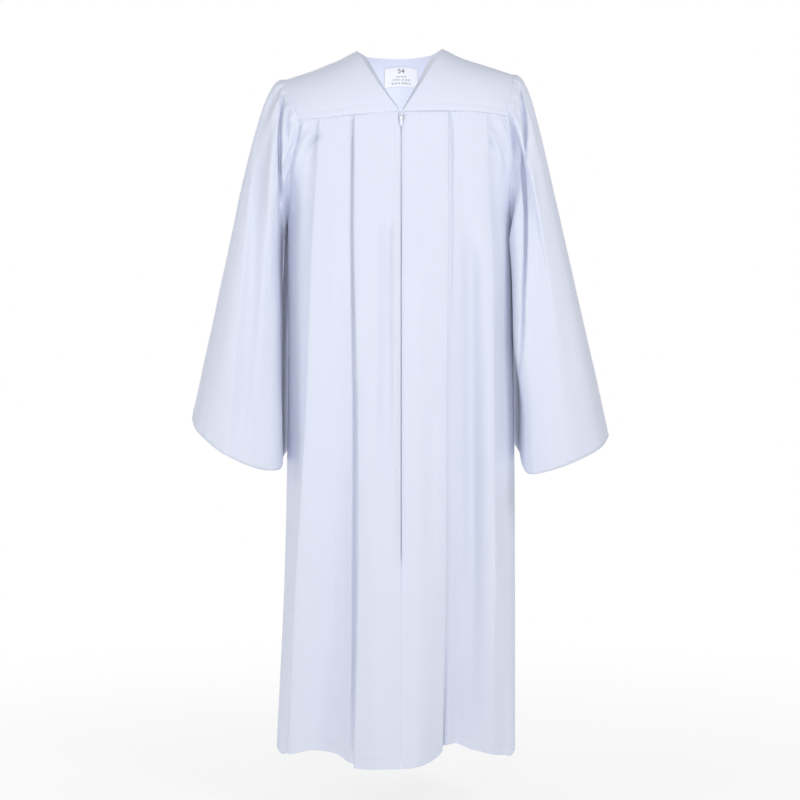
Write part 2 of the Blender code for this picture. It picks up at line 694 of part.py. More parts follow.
def material(name, colour, roughness, metallic=0.0):
    made = bpy.data.materials.new(name)
    made.use_nodes = True
    shader = made.node_tree.nodes["Principled BSDF"]
    shader.inputs["Base Color"].default_value = (*colour, 1.0)
    shader.inputs["Roughness"].default_value = roughness
    shader.inputs["Metallic"].default_value = metallic
    return made


def add_object(name, form, finish):
    """Turn a finished bmesh into a smooth-shaded object of the scene."""
    mesh = bpy.data.meshes.new(name)
    form.to_mesh(mesh)
    form.free()
    mesh.shade_smooth()
    mesh.set_sharp_from_angle(angle=math.radians(50))
    mesh.materials.append(finish)
    made = bpy.data.objects.new(name, mesh)
    bpy.context.scene.collection.objects.link(made)
    return made


def net(rows, closed=False):
    """A grid of faces moved onto rows of points; a closed one joins its last column to its first."""
    across = len(rows[0]) + (1 if closed else 0)
    form = bmesh.new()
    bmesh.ops.create_grid(form, x_segments=across - 1, y_segments=len(rows) - 1, size=1.0)
    form.verts.ensure_lookup_table()
    for index, vert in enumerate(form.verts):
        row, column = divmod(index, across)
        vert.co = rows[row][column % len(rows[0])]
    if closed:
        bmesh.ops.remove_doubles(form, verts=form.verts, dist=1e-6)
    bmesh.ops.recalc_face_normals(form, faces=form.faces)
    return form


def cloth(name, rows, finish, wall=WALL, closed=False):
    """A wall of even thickness whose middle runs through rows of points."""
    made = add_object(name, net(rows, closed), finish)
    thicken = made.modifiers.new("wall", "SOLIDIFY")
    thicken.thickness = wall
    thicken.offset = 0.0
    thicken.use_even_offset = True
    return made


def block(name, finish, size, centre, edge):
    """A box with rounded edges."""
    form = bmesh.new()
    bmesh.ops.create_cube(form, size=1.0)
    bmesh.ops.scale(form, vec=size, verts=form.verts)
    bmesh.ops.translate(form, vec=centre, verts=form.verts)
    bmesh.ops.bevel(
        form, geom=form.edges[:], offset=edge, segments=2, profile=0.5, affect="EDGES", material=-1
    )
    return add_object(name, form, finish)


def rod(name, finish, centre, radius, length, sides=12):
    """A round bar along X."""
    form = bmesh.new()
    bmesh.ops.create_cone(form, cap_ends=True, segments=sides, radius1=radius, radius2=radius, depth=length)
    turn = Vector((0, 0, 1)).rotation_difference(Vector((1, 0, 0))).to_matrix()
    bmesh.ops.rotate(form, cent=(0, 0, 0), matrix=turn, verts=form.verts)
    bmesh.ops.translate(form, vec=centre, verts=form.verts)
    return add_object(name, form, finish)


def combine(target, tool, operation):
    """Join a tool into an object, or cut it away, and drop the tool."""
    change = target.modifiers.new(operation.lower(), "BOOLEAN")
    change.operation = operation
    change.solver = "EXACT"
    change.object = tool
    bpy.context.view_layer.update()
    seen = target.evaluated_get(bpy.context.evaluated_depsgraph_get())
    mesh = bpy.data.meshes.new_from_object(seen)
    target.modifiers.clear()
    old = target.data
    target.data = mesh
    bpy.data.meshes.remove(old)
    bpy.data.objects.remove(tool)


# Zip and label

def front_middle(z):
    """The front's depth at its middle, at a height."""
    return FrontRow(RIGHT, front_way(z)).point(LIP_HALF).y


def strip(side, start, end, outs, behind):
    """Rows behind one front between two ways down, made from the front's own points moved back."""
    rows = [FrontRow(side, way) for way in FRONT_WAYS if start <= way <= end]
    return [[row.point(out, behind) for out in outs] for row in rows]


def zip_tape(side, finish):
    behind = WALL / 2 + SEAM_GAP + TAPE_WALL / 2 + TAPE_SPARE
    outs = [CHAIN_HALF + SEAM_GAP + TAPE_WIDTH * step / 2 for step in range(3)]
    name = "zip_tape_right" if side == RIGHT else "zip_tape_left"
    return cloth(name, strip(side, 0.0, SEAM_START, outs, behind), finish, wall=TAPE_WALL)


def zip_chain(finish):
    """The closed coil, as one flat bar that follows the front."""
    behind = WALL / 2 + SEAM_GAP + CHAIN_THICK / 2
    rows = strip(RIGHT, SPREAD_END, ZIP_END, (LIP_HALF,), behind)
    places = (CENTRE_X - CHAIN_HALF, CENTRE_X, CENTRE_X + CHAIN_HALF)
    bars = [[Vector((x, row[0].y, row[0].z)) for x in places] for row in rows]
    return cloth("zip_chain", bars, finish, wall=CHAIN_THICK)


SLIDER_SIZE = (0.0074, 0.0026, 0.0085)
STOP_SIZE = (0.0036, 0.0014, 0.0032)
STOP_EDGE = 0.0003
SLIDER_SPARE = 0.0002
SLIDER_FORWARD = 0.0007
PIN_FORWARD = 0.0042
PIN_UP = 0.0020
PIN_RADIUS = 0.0005
PIN_LENGTH = 0.0044
SLIDER_EDGE = 0.0008
SMALL_EDGE = 0.0002
TAB_EDGE = 0.0003
EAR_OUT = 0.0021
EAR_THICK = 0.0009
EAR_HEIGHT = 0.0024
EAR_PAST = 0.0014
EAR_FORWARD = 0.0002
TAB_EYE_RADIUS = 0.0014
TAB_EYE_WIDTH = 0.0024
TAB_HOLE_RADIUS = 0.0008
TAB_HOLE_LENGTH = 0.0060
TAB_WIDTH = 0.0046
TAB_THICK = 0.0010
TAB_LENGTH = 0.0125
TAB_DROP = 0.0006
NOTCH_OUT = 0.0021
NOTCH_DROP = 0.0010
NOTCH_SIZE = (0.0018, 0.0040, 0.0050)


def zip_slider(finish, place, pin):
    """Slider body with two ears and the pin that the pull tab hangs on."""
    body = block("zip_slider", finish, SLIDER_SIZE, place, SLIDER_EDGE)
    for side in (RIGHT, LEFT):
        centre = Vector((pin.x + side * EAR_OUT, (pin.y + place.y) / 2 - EAR_FORWARD, pin.z))
        size = (EAR_THICK, abs(place.y - pin.y) + EAR_PAST, EAR_HEIGHT)
        combine(body, block("ear", finish, size, centre, SMALL_EDGE), "UNION")
    combine(body, rod("pin", finish, pin, PIN_RADIUS, PIN_LENGTH), "UNION")
    return body


def zip_pull_tab(finish, pin):
    """The tab, with its origin on the pin it swings on."""
    centre = Vector((0, 0, -TAB_LENGTH / 2 - TAB_DROP))
    tab = block("zip_pull_tab", finish, (TAB_WIDTH, TAB_THICK, TAB_LENGTH), centre, TAB_EDGE)
    for side in (RIGHT, LEFT):
        notch = Vector((side * NOTCH_OUT, 0, -NOTCH_DROP))
        combine(tab, block("notch", finish, NOTCH_SIZE, notch, SMALL_EDGE), "DIFFERENCE")
    middle = Vector((0, 0, 0))
    combine(tab, rod("eye", finish, middle, TAB_EYE_RADIUS, TAB_EYE_WIDTH, sides=16), "UNION")
    combine(tab, rod("hole", finish, middle, TAB_HOLE_RADIUS, TAB_HOLE_LENGTH, sides=16), "DIFFERENCE")
    tab.location = pin
    return tab


def on_net(rows, row, column):
    """A place on a net of rows, between its points."""
    first, across = min(int(row), len(rows) - 2), min(int(column), len(rows[0]) - 2)
    upper = rows[first][across].lerp(rows[first][across + 1], column - across)
    lower = rows[first + 1][across].lerp(rows[first + 1][across + 1], column - across)
    return upper.lerp(lower, row - first)


def neck_label(finish):
    """A patch inside the back yoke, made from the yoke's own points moved inwards."""
    net_rows = back_yoke_rows()
    middle = len(back_yoke_shares(RIGHT)) - 1
    inward = WALL / 2 + SEAM_GAP + LABEL_WALL / 2 + LABEL_SPARE
    rows = []
    for row in LABEL_ROWS:
        points = []
        for column in LABEL_COLUMNS:
            here = on_net(net_rows, row, middle + column)
            down = on_net(net_rows, row + 0.1, middle + column) - here
            across = on_net(net_rows, row, middle + column + 0.1) - here
            normal = down.cross(across).normalized()
            points.append(here + normal * (inward if normal.y < 0 else -inward))
        rows.append(points)
    return cloth("neck_label", rows, finish, wall=LABEL_WALL)


def main():
    for old in list(bpy.data.objects):
        bpy.data.objects.remove(old)
    white = material("white cloth", (0.80, 0.83, 0.93), 0.85)
    tape = material("zip tape", (0.78, 0.80, 0.88), 0.80)
    coil = material("zip coil", (0.70, 0.72, 0.78), 0.45)
    metal = material("white lacquered metal", (0.82, 0.83, 0.86), 0.35, 0.2)
    paper = material("label cloth", (0.86, 0.86, 0.88), 0.60)

    cloth("front_right", front_rows(RIGHT), white)
    cloth("front_left", front_rows(LEFT), white)
    cloth("back_panel", back_rows(), white)
    cloth("yoke_front_right", front_yoke_rows(RIGHT), white)
    cloth("yoke_front_left", front_yoke_rows(LEFT), white)
    cloth("yoke_back", back_yoke_rows(), white)
    cloth("sleeve_right", sleeve_rows(RIGHT), white, closed=True)
    cloth("sleeve_left", sleeve_rows(LEFT), white, closed=True)

    zip_tape(RIGHT, tape)
    zip_tape(LEFT, tape)
    zip_chain(coil)
    slider_z = ZIP_TOP_Z + SEAM_GAP + SLIDER_SIZE[2] / 2 + SLIDER_SPARE
    middle = front_middle(slider_z)
    place = Vector((CENTRE_X, middle - SLIDER_FORWARD, slider_z))
    pin = Vector((CENTRE_X, middle - PIN_FORWARD, slider_z + PIN_UP))
    zip_slider(metal, place, pin)
    zip_pull_tab(metal, pin)
    stop_y = front_middle(ZIP_END_Z) + WALL / 2 + SEAM_GAP + CHAIN_THICK / 2
    stop = Vector((CENTRE_X, stop_y, ZIP_END_Z - SEAM_GAP - STOP_SIZE[2] / 2))
    block("zip_bottom_stop", metal, STOP_SIZE, stop, STOP_EDGE)
    neck_label(paper)


main()
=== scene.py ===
import functools
import math
from collections import namedtuple

import bmesh
import bpy
from mathutils import Matrix, Vector, noise


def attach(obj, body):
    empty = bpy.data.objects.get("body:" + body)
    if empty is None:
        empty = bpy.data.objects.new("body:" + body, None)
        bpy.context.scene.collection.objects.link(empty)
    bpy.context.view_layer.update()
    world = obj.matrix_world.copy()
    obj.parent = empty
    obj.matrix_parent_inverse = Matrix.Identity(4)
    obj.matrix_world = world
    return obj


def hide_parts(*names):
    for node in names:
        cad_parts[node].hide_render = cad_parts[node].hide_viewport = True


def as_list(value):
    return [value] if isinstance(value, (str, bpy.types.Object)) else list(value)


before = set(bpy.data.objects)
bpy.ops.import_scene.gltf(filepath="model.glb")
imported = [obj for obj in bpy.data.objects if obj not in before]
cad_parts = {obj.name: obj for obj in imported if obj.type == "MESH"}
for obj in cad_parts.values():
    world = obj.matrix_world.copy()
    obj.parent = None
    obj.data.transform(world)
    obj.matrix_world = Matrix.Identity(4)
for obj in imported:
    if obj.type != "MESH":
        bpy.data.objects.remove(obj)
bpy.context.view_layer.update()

RIGHT, LEFT = -1, 1
FORE, AFT = -1, 1

# Main lines of the robe, and how square its sections are (2 is an ellipse)
CENTRE_X = 0.002
V_POINT_HALF = 0.0006
NECK_BACK = 0.067
UNDERARM_Z = -0.280
BACK_YOKE_Z = -0.125
ZIP_TOP_Z = -0.1145
ZIP_END_Z = -0.868
SECTION_POWER = 2.4
YOKE_POWER = {FORE: 2.2, AFT: 2.8}

# Metres of cloth that one whole way down a piece stands for, and the radius of a cuff
PANEL_LENGTH = 1.12
SLEEVE_LENGTH = 0.68
YOKE_LENGTH = 0.10
SHOULDER_LENGTH = 0.09
CUFF_RADIUS = 0.11

# Cloth, its hems and seams, and the layers of a fold
CLOTH = 0.0008
HEM_DEPTH = 0.018
SEAM_UNDER = 0.003
HALF_LAYER = 0.0011
FOLD_RADIUS = 0.0011

# Half the opening between the fronts: at the slider, along the zip, and at the foot of the slit
LIP_SPREAD = 0.0040
LIP_HALF = 0.0007
SLIT_HALF = 0.0008

# Lines of stitches: half width of their groove, and their distance from the zip, yoke seam and neck
STITCH_GROOVE = 0.0018
ZIP_STITCH = {RIGHT: 0.0082, LEFT: 0.0042}
YOKE_STITCH = 0.0065
NECK_STITCH = 0.006

# Small waves of the cloth: length of one along the zip, the front yoke seams, the back's and the hems
ZIP_WAVE = 0.017
TUCK_WAVE = 0.0125
GATHER_WAVE = 0.0108
HEM_WAVE = 0.021

# The body at five ways down: half width to each side, depth forward and back
STATIONS = (0.0, 0.175, 0.46, 0.73, 1.0)
Section = namedtuple("Section", "right left fore aft")
SECTIONS = (
    Section(0.2008, 0.1998, 0.112, 0.108),
    Section(0.2008, 0.2000, 0.130, 0.124),
    Section(0.2012, 0.2044, 0.125, 0.120),
    Section(0.2070, 0.2060, 0.113, 0.124),
    Section(0.2211, 0.2062, 0.105, 0.132),
)
CHEST_EASE = 0.0265

# Lines across the whole robe, from its right side (negative x) to its left
Height = namedtuple("Height", "x z")
SHOULDER_LINE = (
    Height(-0.2053, -0.0236), Height(-0.1530, -0.0070), Height(-0.1116, 0.0090), Height(-0.0774, 0.0264),
    Height(0.0, 0.0500), Height(0.0756, 0.0302), Height(0.1080, 0.0138), Height(0.1530, 0.0004),
    Height(0.2040, -0.0150),
)
NECK_HALF = {RIGHT: 0.0774, LEFT: 0.0756}
FRONT_YOKE_SEAM = (
    Height(-0.180, -0.1086), Height(-0.140, -0.1094), Height(-0.080, -0.1058), Height(0.002, -0.1014),
    Height(0.080, -0.0989), Height(0.147, -0.0990), Height(0.188, -0.1016),
)
FRONT_HEM = (
    Height(-0.2211, -1.2160), Height(-0.213, -1.2250), Height(-0.198, -1.2240), Height(-0.150, -1.2135),
    Height(-0.114, -1.2190), Height(-0.084, -1.2262), Height(-0.034, -1.2235), Height(0.026, -1.2208),
    Height(0.060, -1.2115), Height(0.074, -1.2030), Height(0.094, -1.2008), Height(0.124, -1.2122),
    Height(0.150, -1.2195), Height(0.187, -1.2290), Height(0.199, -1.2300), Height(0.2062, -1.2210),
)
BACK_HEM = (
    Height(-0.2211, -1.2160), Height(-0.205, -1.2235), Height(-0.120, -1.2210), Height(0.0, -1.2250),
    Height(0.120, -1.2215), Height(0.190, -1.2260), Height(0.2062, -1.2210),
)


def all_round(*rows):
    """Rows given by angle, with the first one again at the end of the turn."""
    return rows + (rows[0]._replace(angle=360),)


# Armhole, by the angle round it from the shoulder tip over the front: distance out from the middle
Armhole = namedtuple("Armhole", "angle right left")
ARMHOLE = all_round(
    Armhole(0, 0.2053, 0.2040), Armhole(25, 0.2030, 0.2020), Armhole(48, 0.1940, 0.1975),
    Armhole(68, 0.1805, 0.1905), Armhole(76, 0.1785, 0.1985), Armhole(85, 0.1822, 0.2042),
    Armhole(97, 0.1875, 0.2040), Armhole(108, 0.1910, 0.2008), Armhole(119, 0.1945, 0.1972),
    Armhole(136, 0.1980, 0.1965), Armhole(155, 0.1995, 0.1975), Armhole(180, 0.2008, 0.1998),
    Armhole(210, 0.1990, 0.1980), Armhole(240, 0.1930, 0.1930), Armhole(282, 0.1850, 0.1855),
    Armhole(320, 0.1950, 0.1945),
)
SHOULDER_TIP_Z = {RIGHT: -0.0236, LEFT: -0.0150}

# Lines down each front: distance out from the middle, and how far they stand out, at the stations
Line = namedtuple("Line", "name x out")
FRONT_LINES = {
    RIGHT: (
        Line("lip", (0.0, 0.0, 0.0, 0.0, 0.0), (0.0, 0.003, 0.006, 0.018, 0.046)),
        Line("middle", (0.040, 0.040, 0.038, 0.038, 0.040), (0.0, 0.003, 0.007, 0.020, 0.048)),
        Line("inner pleat", (0.0793, 0.0803, 0.0735, 0.0735, 0.080), (0.0, 0.002, 0.003, 0.009, 0.030)),
        Line("hollow", (0.100, 0.102, 0.098, 0.096, 0.099), (0.0, -0.002, -0.008, -0.012, -0.018)),
        Line("plain", (0.118, 0.126, 0.130, 0.140, 0.152), (0.0, 0.001, -0.002, -0.006, -0.026)),
        Line("outer pleat", (0.140, 0.152, 0.164, 0.183, 0.199), (0.0, 0.007, 0.012, 0.012, -0.014)),
        Line("flank", (0.166, 0.186, 0.188, 0.1985, 0.213), (0.0, -0.003, -0.004, -0.002, -0.010)),
    ),
    LEFT: (
        Line("lip", (0.0, 0.0, 0.0, 0.0, 0.0), (0.0, 0.003, 0.006, 0.018, 0.046)),
        Line("middle", (0.036, 0.036, 0.034, 0.034, 0.036), (0.0, 0.003, 0.007, 0.020, 0.042)),
        Line("inner pleat", (0.0822, 0.0822, 0.0787, 0.0782, 0.0716), (0.0, 0.002, 0.002, 0.006, 0.008)),
        Line("hollow", (0.102, 0.100, 0.098, 0.097, 0.089), (0.0, -0.002, -0.008, -0.014, -0.034)),
        Line("plain", (0.125, 0.121, 0.116, 0.119, 0.114), (0.0, -0.002, -0.013, -0.019, -0.036)),
        Line("outer pleat", (0.1505, 0.158, 0.163, 0.165, 0.160), (0.0, 0.008, 0.010, 0.008, -0.024)),
        Line("flank", (0.172, 0.187, 0.189, 0.190, 0.190), (0.0, -0.002, -0.001, -0.002, -0.022)),
    ),
}

# Pleats: how far folded under (below 0: opened out), how far the layers part, and their spacing
Pleat = namedtuple("Pleat", "ways under part layers")
PLEATS = {
    (RIGHT, "inner pleat"): Pleat(
        (0.0, 0.3, 0.6, 0.85, 1.0), (0.022, 0.021, 0.020, 0.018, 0.015),
        (0.0008, 0.0014, 0.0035, 0.009, 0.016), (1.0, 1.0, 1.1, 1.4, 1.6),
    ),
    (RIGHT, "outer pleat"): Pleat(
        (0.0, 0.03, 0.06, 0.10, 0.20, 1.0), (0.016, 0.011, 0.0065, 0.0055, 0.0055, 0.0050),
        (0.0, 0.003, 0.006, 0.004, 0.002, 0.002), (1.0, 1.0, 1.0, 0.9, 0.8, 0.8),
    ),
    (LEFT, "inner pleat"): Pleat(
        (0.0, 0.3, 0.6, 0.85, 1.0), (0.022, 0.021, 0.020, 0.017, 0.014),
        (0.0, 0.0, 0.002, 0.010, 0.024), (1.0, 1.0, 1.2, 1.7, 2.2),
    ),
    (LEFT, "outer pleat"): Pleat(
        (0.0, 0.03, 0.06, 0.10, 0.20, 1.0), (0.016, 0.011, 0.003, -0.004, -0.006, -0.004),
        (0.0, 0.003, 0.006, 0.005, 0.0, 0.0), (1.0, 1.0, 1.0, 0.7, 0.0, 0.0),
    ),
}

# Soft ridges (depth above 0) and troughs of the front: both ends, depth, half width, sideways bow
Crease = namedtuple("Crease", "x_from z_from x_to z_to depth width bow")
FRONT_CREASES = (
    Crease(-0.137, -0.136, -0.168, -0.172, -0.0075, 0.0055, 0.002),
    Crease(-0.150, -0.128, -0.191, -0.225, 0.0048, 0.010, 0.010),
    Crease(-0.1715, -0.116, -0.1815, -0.158, -0.0060, 0.0040, 0.0),
    Crease(-0.154, -0.168, -0.172, -0.430, -0.0025, 0.012, 0.0),
    Crease(-0.166, -0.112, -0.188, -0.175, 0.0025, 0.006, 0.004),
    Crease(-0.0835, -0.104, -0.0780, -0.640, -0.0020, 0.0045, 0.0),
    Crease(-0.0775, -0.560, -0.0840, -1.190, -0.0025, 0.0050, 0.0),
    Crease(0.1515, -0.123, 0.1840, -0.205, -0.0055, 0.0060, -0.0135),
    Crease(0.1480, -0.134, 0.1770, -0.210, 0.0030, 0.0065, -0.0125),
    Crease(0.172, -0.108, 0.197, -0.195, 0.0036, 0.008, -0.007),
    Crease(0.184, -0.106, 0.189, -0.134, -0.0046, 0.0045, 0.0),
    Crease(0.158, -0.150, 0.176, -0.400, -0.0035, 0.013, 0.0),
    Crease(0.132, -0.180, 0.128, -0.360, 0.0034, 0.030, 0.0),
    Crease(-0.022, -0.270, -0.030, -0.840, -0.0080, 0.018, 0.0),
    Crease(0.024, -0.300, 0.026, -0.620, 0.0020, 0.020, 0.0),
    Crease(-0.110, -0.240, -0.118, -0.560, 0.0025, 0.022, 0.0),
    Crease(-0.060, -0.520, -0.052, -0.980, 0.0022, 0.018, 0.003),
    Crease(0.052, -0.600, 0.050, -1.020, -0.0022, 0.016, 0.0),
    Crease(-0.098, -0.700, -0.103, -1.150, -0.0050, 0.014, 0.0),
    Crease(0.122, -0.290, 0.128, -1.120, -0.0115, 0.020, 0.0),
    Crease(0.156, -0.400, 0.160, -0.960, 0.0055, 0.013, 0.003),
    Crease(0.178, -0.360, 0.181, -0.980, -0.0025, 0.012, 0.0),
    Crease(0.0786, -0.101, 0.0772, -0.480, -0.0012, 0.0022, 0.0),
    Crease(0.0888, -0.101, 0.0860, -0.560, -0.0016, 0.0026, 0.0),
)

# Folds of the sleeves' front face, placed in the same way
SLEEVE_CREASES = {
    RIGHT: (
        Crease(-0.1985, -0.066, -0.2020, -0.200, 0.0025, 0.0050, 0.0),
        Crease(-0.2130, -0.044, -0.2230, -0.095, -0.0045, 0.0035, -0.001),
        Crease(-0.2170, -0.060, -0.2240, -0.420, 0.0025, 0.0090, 0.003),
        Crease(-0.2380, -0.120, -0.2930, -0.820, -0.0140, 0.0200, -0.004),
        Crease(-0.2700, -0.200, -0.3150, -0.660, 0.0040, 0.0260, 0.0),
        Crease(-0.2330, -0.030, -0.2480, -0.160, 0.0040, 0.0110, 0.0),
    ),
    LEFT: (
        Crease(0.2300, -0.060, 0.2300, -0.520, 0.0025, 0.0100, -0.002),
        Crease(0.2020, -0.054, 0.2040, -0.110, -0.0030, 0.0030, 0.0),
        Crease(0.2290, -0.020, 0.2420, -0.140, -0.0030, 0.0070, -0.002),
        Crease(0.2500, -0.160, 0.3100, -0.660, -0.0030, 0.0220, 0.0),
        Crease(0.2760, -0.160, 0.3450, -0.600, 0.0025, 0.0240, 0.0),
    ),
}

# Long creases that bend: x, height and depth from the top down, and half widths to lower and higher x
LongCrease = namedtuple("LongCrease", "places below_x above_x")
FRONT_LONG_CREASES = {
    RIGHT: (
        LongCrease((
            (-0.0820, -0.125, 0.0), (-0.0831, -0.300, -0.0025), (-0.0800, -0.460, -0.0035),
            (-0.0767, -0.620, -0.0050), (-0.0760, -0.780, -0.0065), (-0.0767, -0.920, -0.0075),
            (-0.0790, -1.070, -0.0070), (-0.0825, -1.200, -0.0030),
        ), 0.0070, 0.0030),
        LongCrease((
            (-0.0052, -0.120, 0.0), (-0.0052, -0.170, -0.0012), (-0.0056, -0.300, -0.0014),
            (-0.0056, -0.450, -0.0020), (-0.0054, -0.620, -0.0022), (-0.0052, -0.780, -0.0030),
            (-0.0050, -0.860, -0.0015), (-0.0050, -0.920, 0.0),
        ), 0.0030, 0.0024),
    ),
    LEFT: (),
}
LONG_CREASES = {
    RIGHT: (
        LongCrease((
            (-0.2048, -0.050, 0.0), (-0.2063, -0.072, -0.011), (-0.2086, -0.111, -0.015),
            (-0.2107, -0.154, -0.019), (-0.2110, -0.215, -0.024), (-0.2110, -0.340, -0.024),
            (-0.2110, -0.460, 0.0),
        ), 0.0026, 0.0075),
        LongCrease((
            (-0.1912, -0.078, 0.0), (-0.1926, -0.092, -0.0045), (-0.1950, -0.115, -0.0060),
            (-0.1946, -0.132, -0.0040), (-0.1946, -0.152, 0.0),
        ), 0.0028, 0.0034),
    ),
    LEFT: (
        LongCrease((
            (0.2110, -0.036, 0.0), (0.2120, -0.050, -0.007), (0.2140, -0.074, -0.011),
            (0.2183, -0.098, -0.013), (0.2195, -0.198, -0.015), (0.2213, -0.241, -0.015),
            (0.2206, -0.337, -0.013), (0.2173, -0.406, -0.011), (0.2138, -0.493, -0.009),
            (0.2000, -0.610, -0.006), (0.1985, -0.650, 0.0),
        ), 0.0085, 0.0026),
    ),
}

# Flutes of the back: place at the yoke seam and at the hem, and how far each stands out on the way
Flute = namedtuple("Flute", "x_seam x_hem chest waist knee hem")
FLUTES = (
    Flute(-0.152, -0.172, -0.002, -0.005, -0.008, -0.012), Flute(-0.130, -0.142, 0.004, 0.008, 0.012, 0.017),
    Flute(-0.108, -0.114, -0.004, -0.008, -0.011, -0.013), Flute(-0.085, -0.087, 0.004, 0.007, 0.010, 0.013),
    Flute(-0.063, -0.067, -0.004, -0.009, -0.011, -0.012), Flute(-0.040, -0.039, 0.005, 0.010, 0.014, 0.019),
    Flute(-0.018, -0.016, -0.004, -0.007, -0.009, -0.011), Flute(0.004, 0.006, 0.003, 0.006, 0.010, 0.014),
    Flute(0.025, 0.030, -0.004, -0.009, -0.012, -0.015), Flute(0.048, 0.052, 0.005, 0.010, 0.013, 0.017),
    Flute(0.071, 0.076, -0.003, -0.007, -0.010, -0.013), Flute(0.092, 0.097, 0.004, 0.006, 0.009, 0.012),
    Flute(0.112, 0.118, -0.004, -0.009, -0.012, -0.015), Flute(0.134, 0.140, 0.005, 0.009, 0.012, 0.016),
    Flute(0.155, 0.165, -0.002, -0.005, -0.007, -0.010),
)

# Sleeves, by the angle round the armhole: how far the cloth puffs out from the seam, and the cuff's edge
Meridian = namedtuple("Meridian", "angle puff_out puff_fore puff_up cuff_out cuff_fore cuff_z")
SLEEVES = {
    RIGHT: all_round(
        Meridian(0, 0.034, 0.000, 0.018, 0.3750, 0.000, -0.632),
        Meridian(40, 0.032, 0.006, 0.012, 0.3520, 0.080, -0.655),
        Meridian(75, 0.024, 0.012, 0.000, 0.3040, 0.116, -0.690),
        Meridian(110, 0.018, 0.016, 0.000, 0.2480, 0.116, -0.715),
        Meridian(140, 0.013, 0.012, 0.000, 0.2125, 0.098, -0.719),
        Meridian(180, 0.009, 0.000, 0.000, 0.2100, 0.000, -0.700),
        Meridian(220, 0.006, -0.010, 0.000, 0.2110, -0.090, -0.683),
        Meridian(250, 0.012, -0.014, 0.000, 0.2440, -0.118, -0.676),
        Meridian(285, 0.022, -0.012, 0.000, 0.3000, -0.120, -0.658),
        Meridian(322, 0.031, -0.006, 0.012, 0.3500, -0.082, -0.636),
    ),
    LEFT: all_round(
        Meridian(0, 0.024, 0.000, 0.016, 0.3750, 0.000, -0.662),
        Meridian(40, 0.025, 0.006, 0.010, 0.3490, 0.082, -0.682),
        Meridian(75, 0.022, 0.012, 0.000, 0.3015, 0.116, -0.704),
        Meridian(110, 0.018, 0.016, 0.000, 0.2520, 0.116, -0.721),
        Meridian(140, 0.016, 0.012, 0.000, 0.2220, 0.096, -0.725),
        Meridian(180, 0.009, 0.000, 0.000, 0.2150, 0.000, -0.690),
        Meridian(220, 0.006, -0.010, 0.000, 0.2110, -0.090, -0.672),
        Meridian(250, 0.012, -0.014, 0.000, 0.2440, -0.118, -0.674),
        Meridian(285, 0.020, -0.012, 0.000, 0.2975, -0.120, -0.668),
        Meridian(322, 0.024, -0.006, 0.010, 0.3470, -0.082, -0.660),
    ),
}

# The puff rises within a short way and a longer one, and the short one has this share
PUFF_QUICK = 0.010
PUFF_SLOW = 0.12
PUFF_QUICK_SHARE = 0.25

# The fold of each sleeve that hangs beside the body: where it lies, and how far it is out and forward
InnerFold = namedtuple("InnerFold", "angle width out fore")
INNER_FOLDS = {RIGHT: InnerFold(148, 34, 0.0040, 0.008), LEFT: InnerFold(142, 50, -0.0165, 0.012)}

# Folds of the sleeves: angle at the armhole and at the cuff, depth, half width, where they start and end
Fold = namedtuple("Fold", "armhole cuff depth width start end")
SLEEVE_FOLDS = {
    RIGHT: (
        Fold(7.5, 14, 0.0040, 10, 0, 0.40), Fold(22.5, 30, 0.0050, 10, 0, 0.75),
        Fold(45, 58, 0.0045, 10, 0, 0.30), Fold(60, 84, 0.0050, 10, 0, 0.55),
        Fold(82.5, 100, 0.0040, 10, 0, 0.22), Fold(105, 118, 0.0030, 11, 0, 0.20),
        Fold(337.5, 335, 0.0045, 10, 0, 0.50), Fold(315, 310, 0.0050, 10, 0, 0.80),
        Fold(300, 292, 0.0035, 10, 0, 0.35), Fold(277.5, 268, 0.0045, 10, 0, 0.60),
        Fold(255, 250, 0.0030, 11, 0, 0.25), Fold(48, 90, 0.0025, 13, 0.10, 1.25),
        Fold(20, 24, 0.0018, 12, 0.30, 1.15), Fold(300, 270, 0.0050, 14, 0.12, 1.25),
        Fold(340, 330, 0.0030, 12, 0.30, 1.20),
    ),
    LEFT: (
        Fold(7.5, 12, 0.0040, 10, 0, 0.35), Fold(30, 36, 0.0045, 10, 0, 0.45),
        Fold(45, 54, 0.0050, 10, 0, 0.70), Fold(67.5, 80, 0.0045, 10, 0, 0.30),
        Fold(82.5, 104, 0.0050, 10, 0, 0.55), Fold(105, 120, 0.0035, 11, 0, 0.22),
        Fold(345, 342, 0.0045, 10, 0, 0.40), Fold(322.5, 318, 0.0050, 10, 0, 0.75),
        Fold(300, 290, 0.0035, 10, 0, 0.30), Fold(277.5, 266, 0.0045, 10, 0, 0.65),
        Fold(255, 248, 0.0030, 11, 0, 0.25), Fold(70, 96, 0.0018, 13, 0.15, 1.20),
        Fold(305, 275, 0.0045, 14, 0.12, 1.20), Fold(335, 326, 0.0030, 12, 0.25, 1.15),
    ),
}

# How finely each piece is divided; panels have rows at set distances from the yoke seam and the hem
TOP_ROWS = (0.0, 0.001, 0.002, 0.0035, 0.005, 0.007, 0.0095, 0.0125, 0.016, 0.020, 0.025)
HEM_ROWS = (0.0, 0.0007, 0.002, 0.004, 0.0065, 0.009, 0.012, 0.0145, 0.016, 0.017, 0.018, 0.019, 0.020,
            0.0215, 0.024, 0.028)
BODY_ROWS = 150
BACK_EDGE_COLUMNS = 40
BACK_MIDDLE_COLUMNS = 56
YOKE_ROWS = 60
YOKE_COLUMNS = 54
BACK_NECK_COLUMNS = 28
BACK_SHOULDER_COLUMNS = 26
SLEEVE_ROWS = 110
SLEEVE_COLUMNS = 400

# How strongly a sleeve's rows crowd towards its seam, and its columns towards the front
CAP_CROWDING = 0.35
CAP_POWER = 2.2
FRONT_CROWDING = 0.11

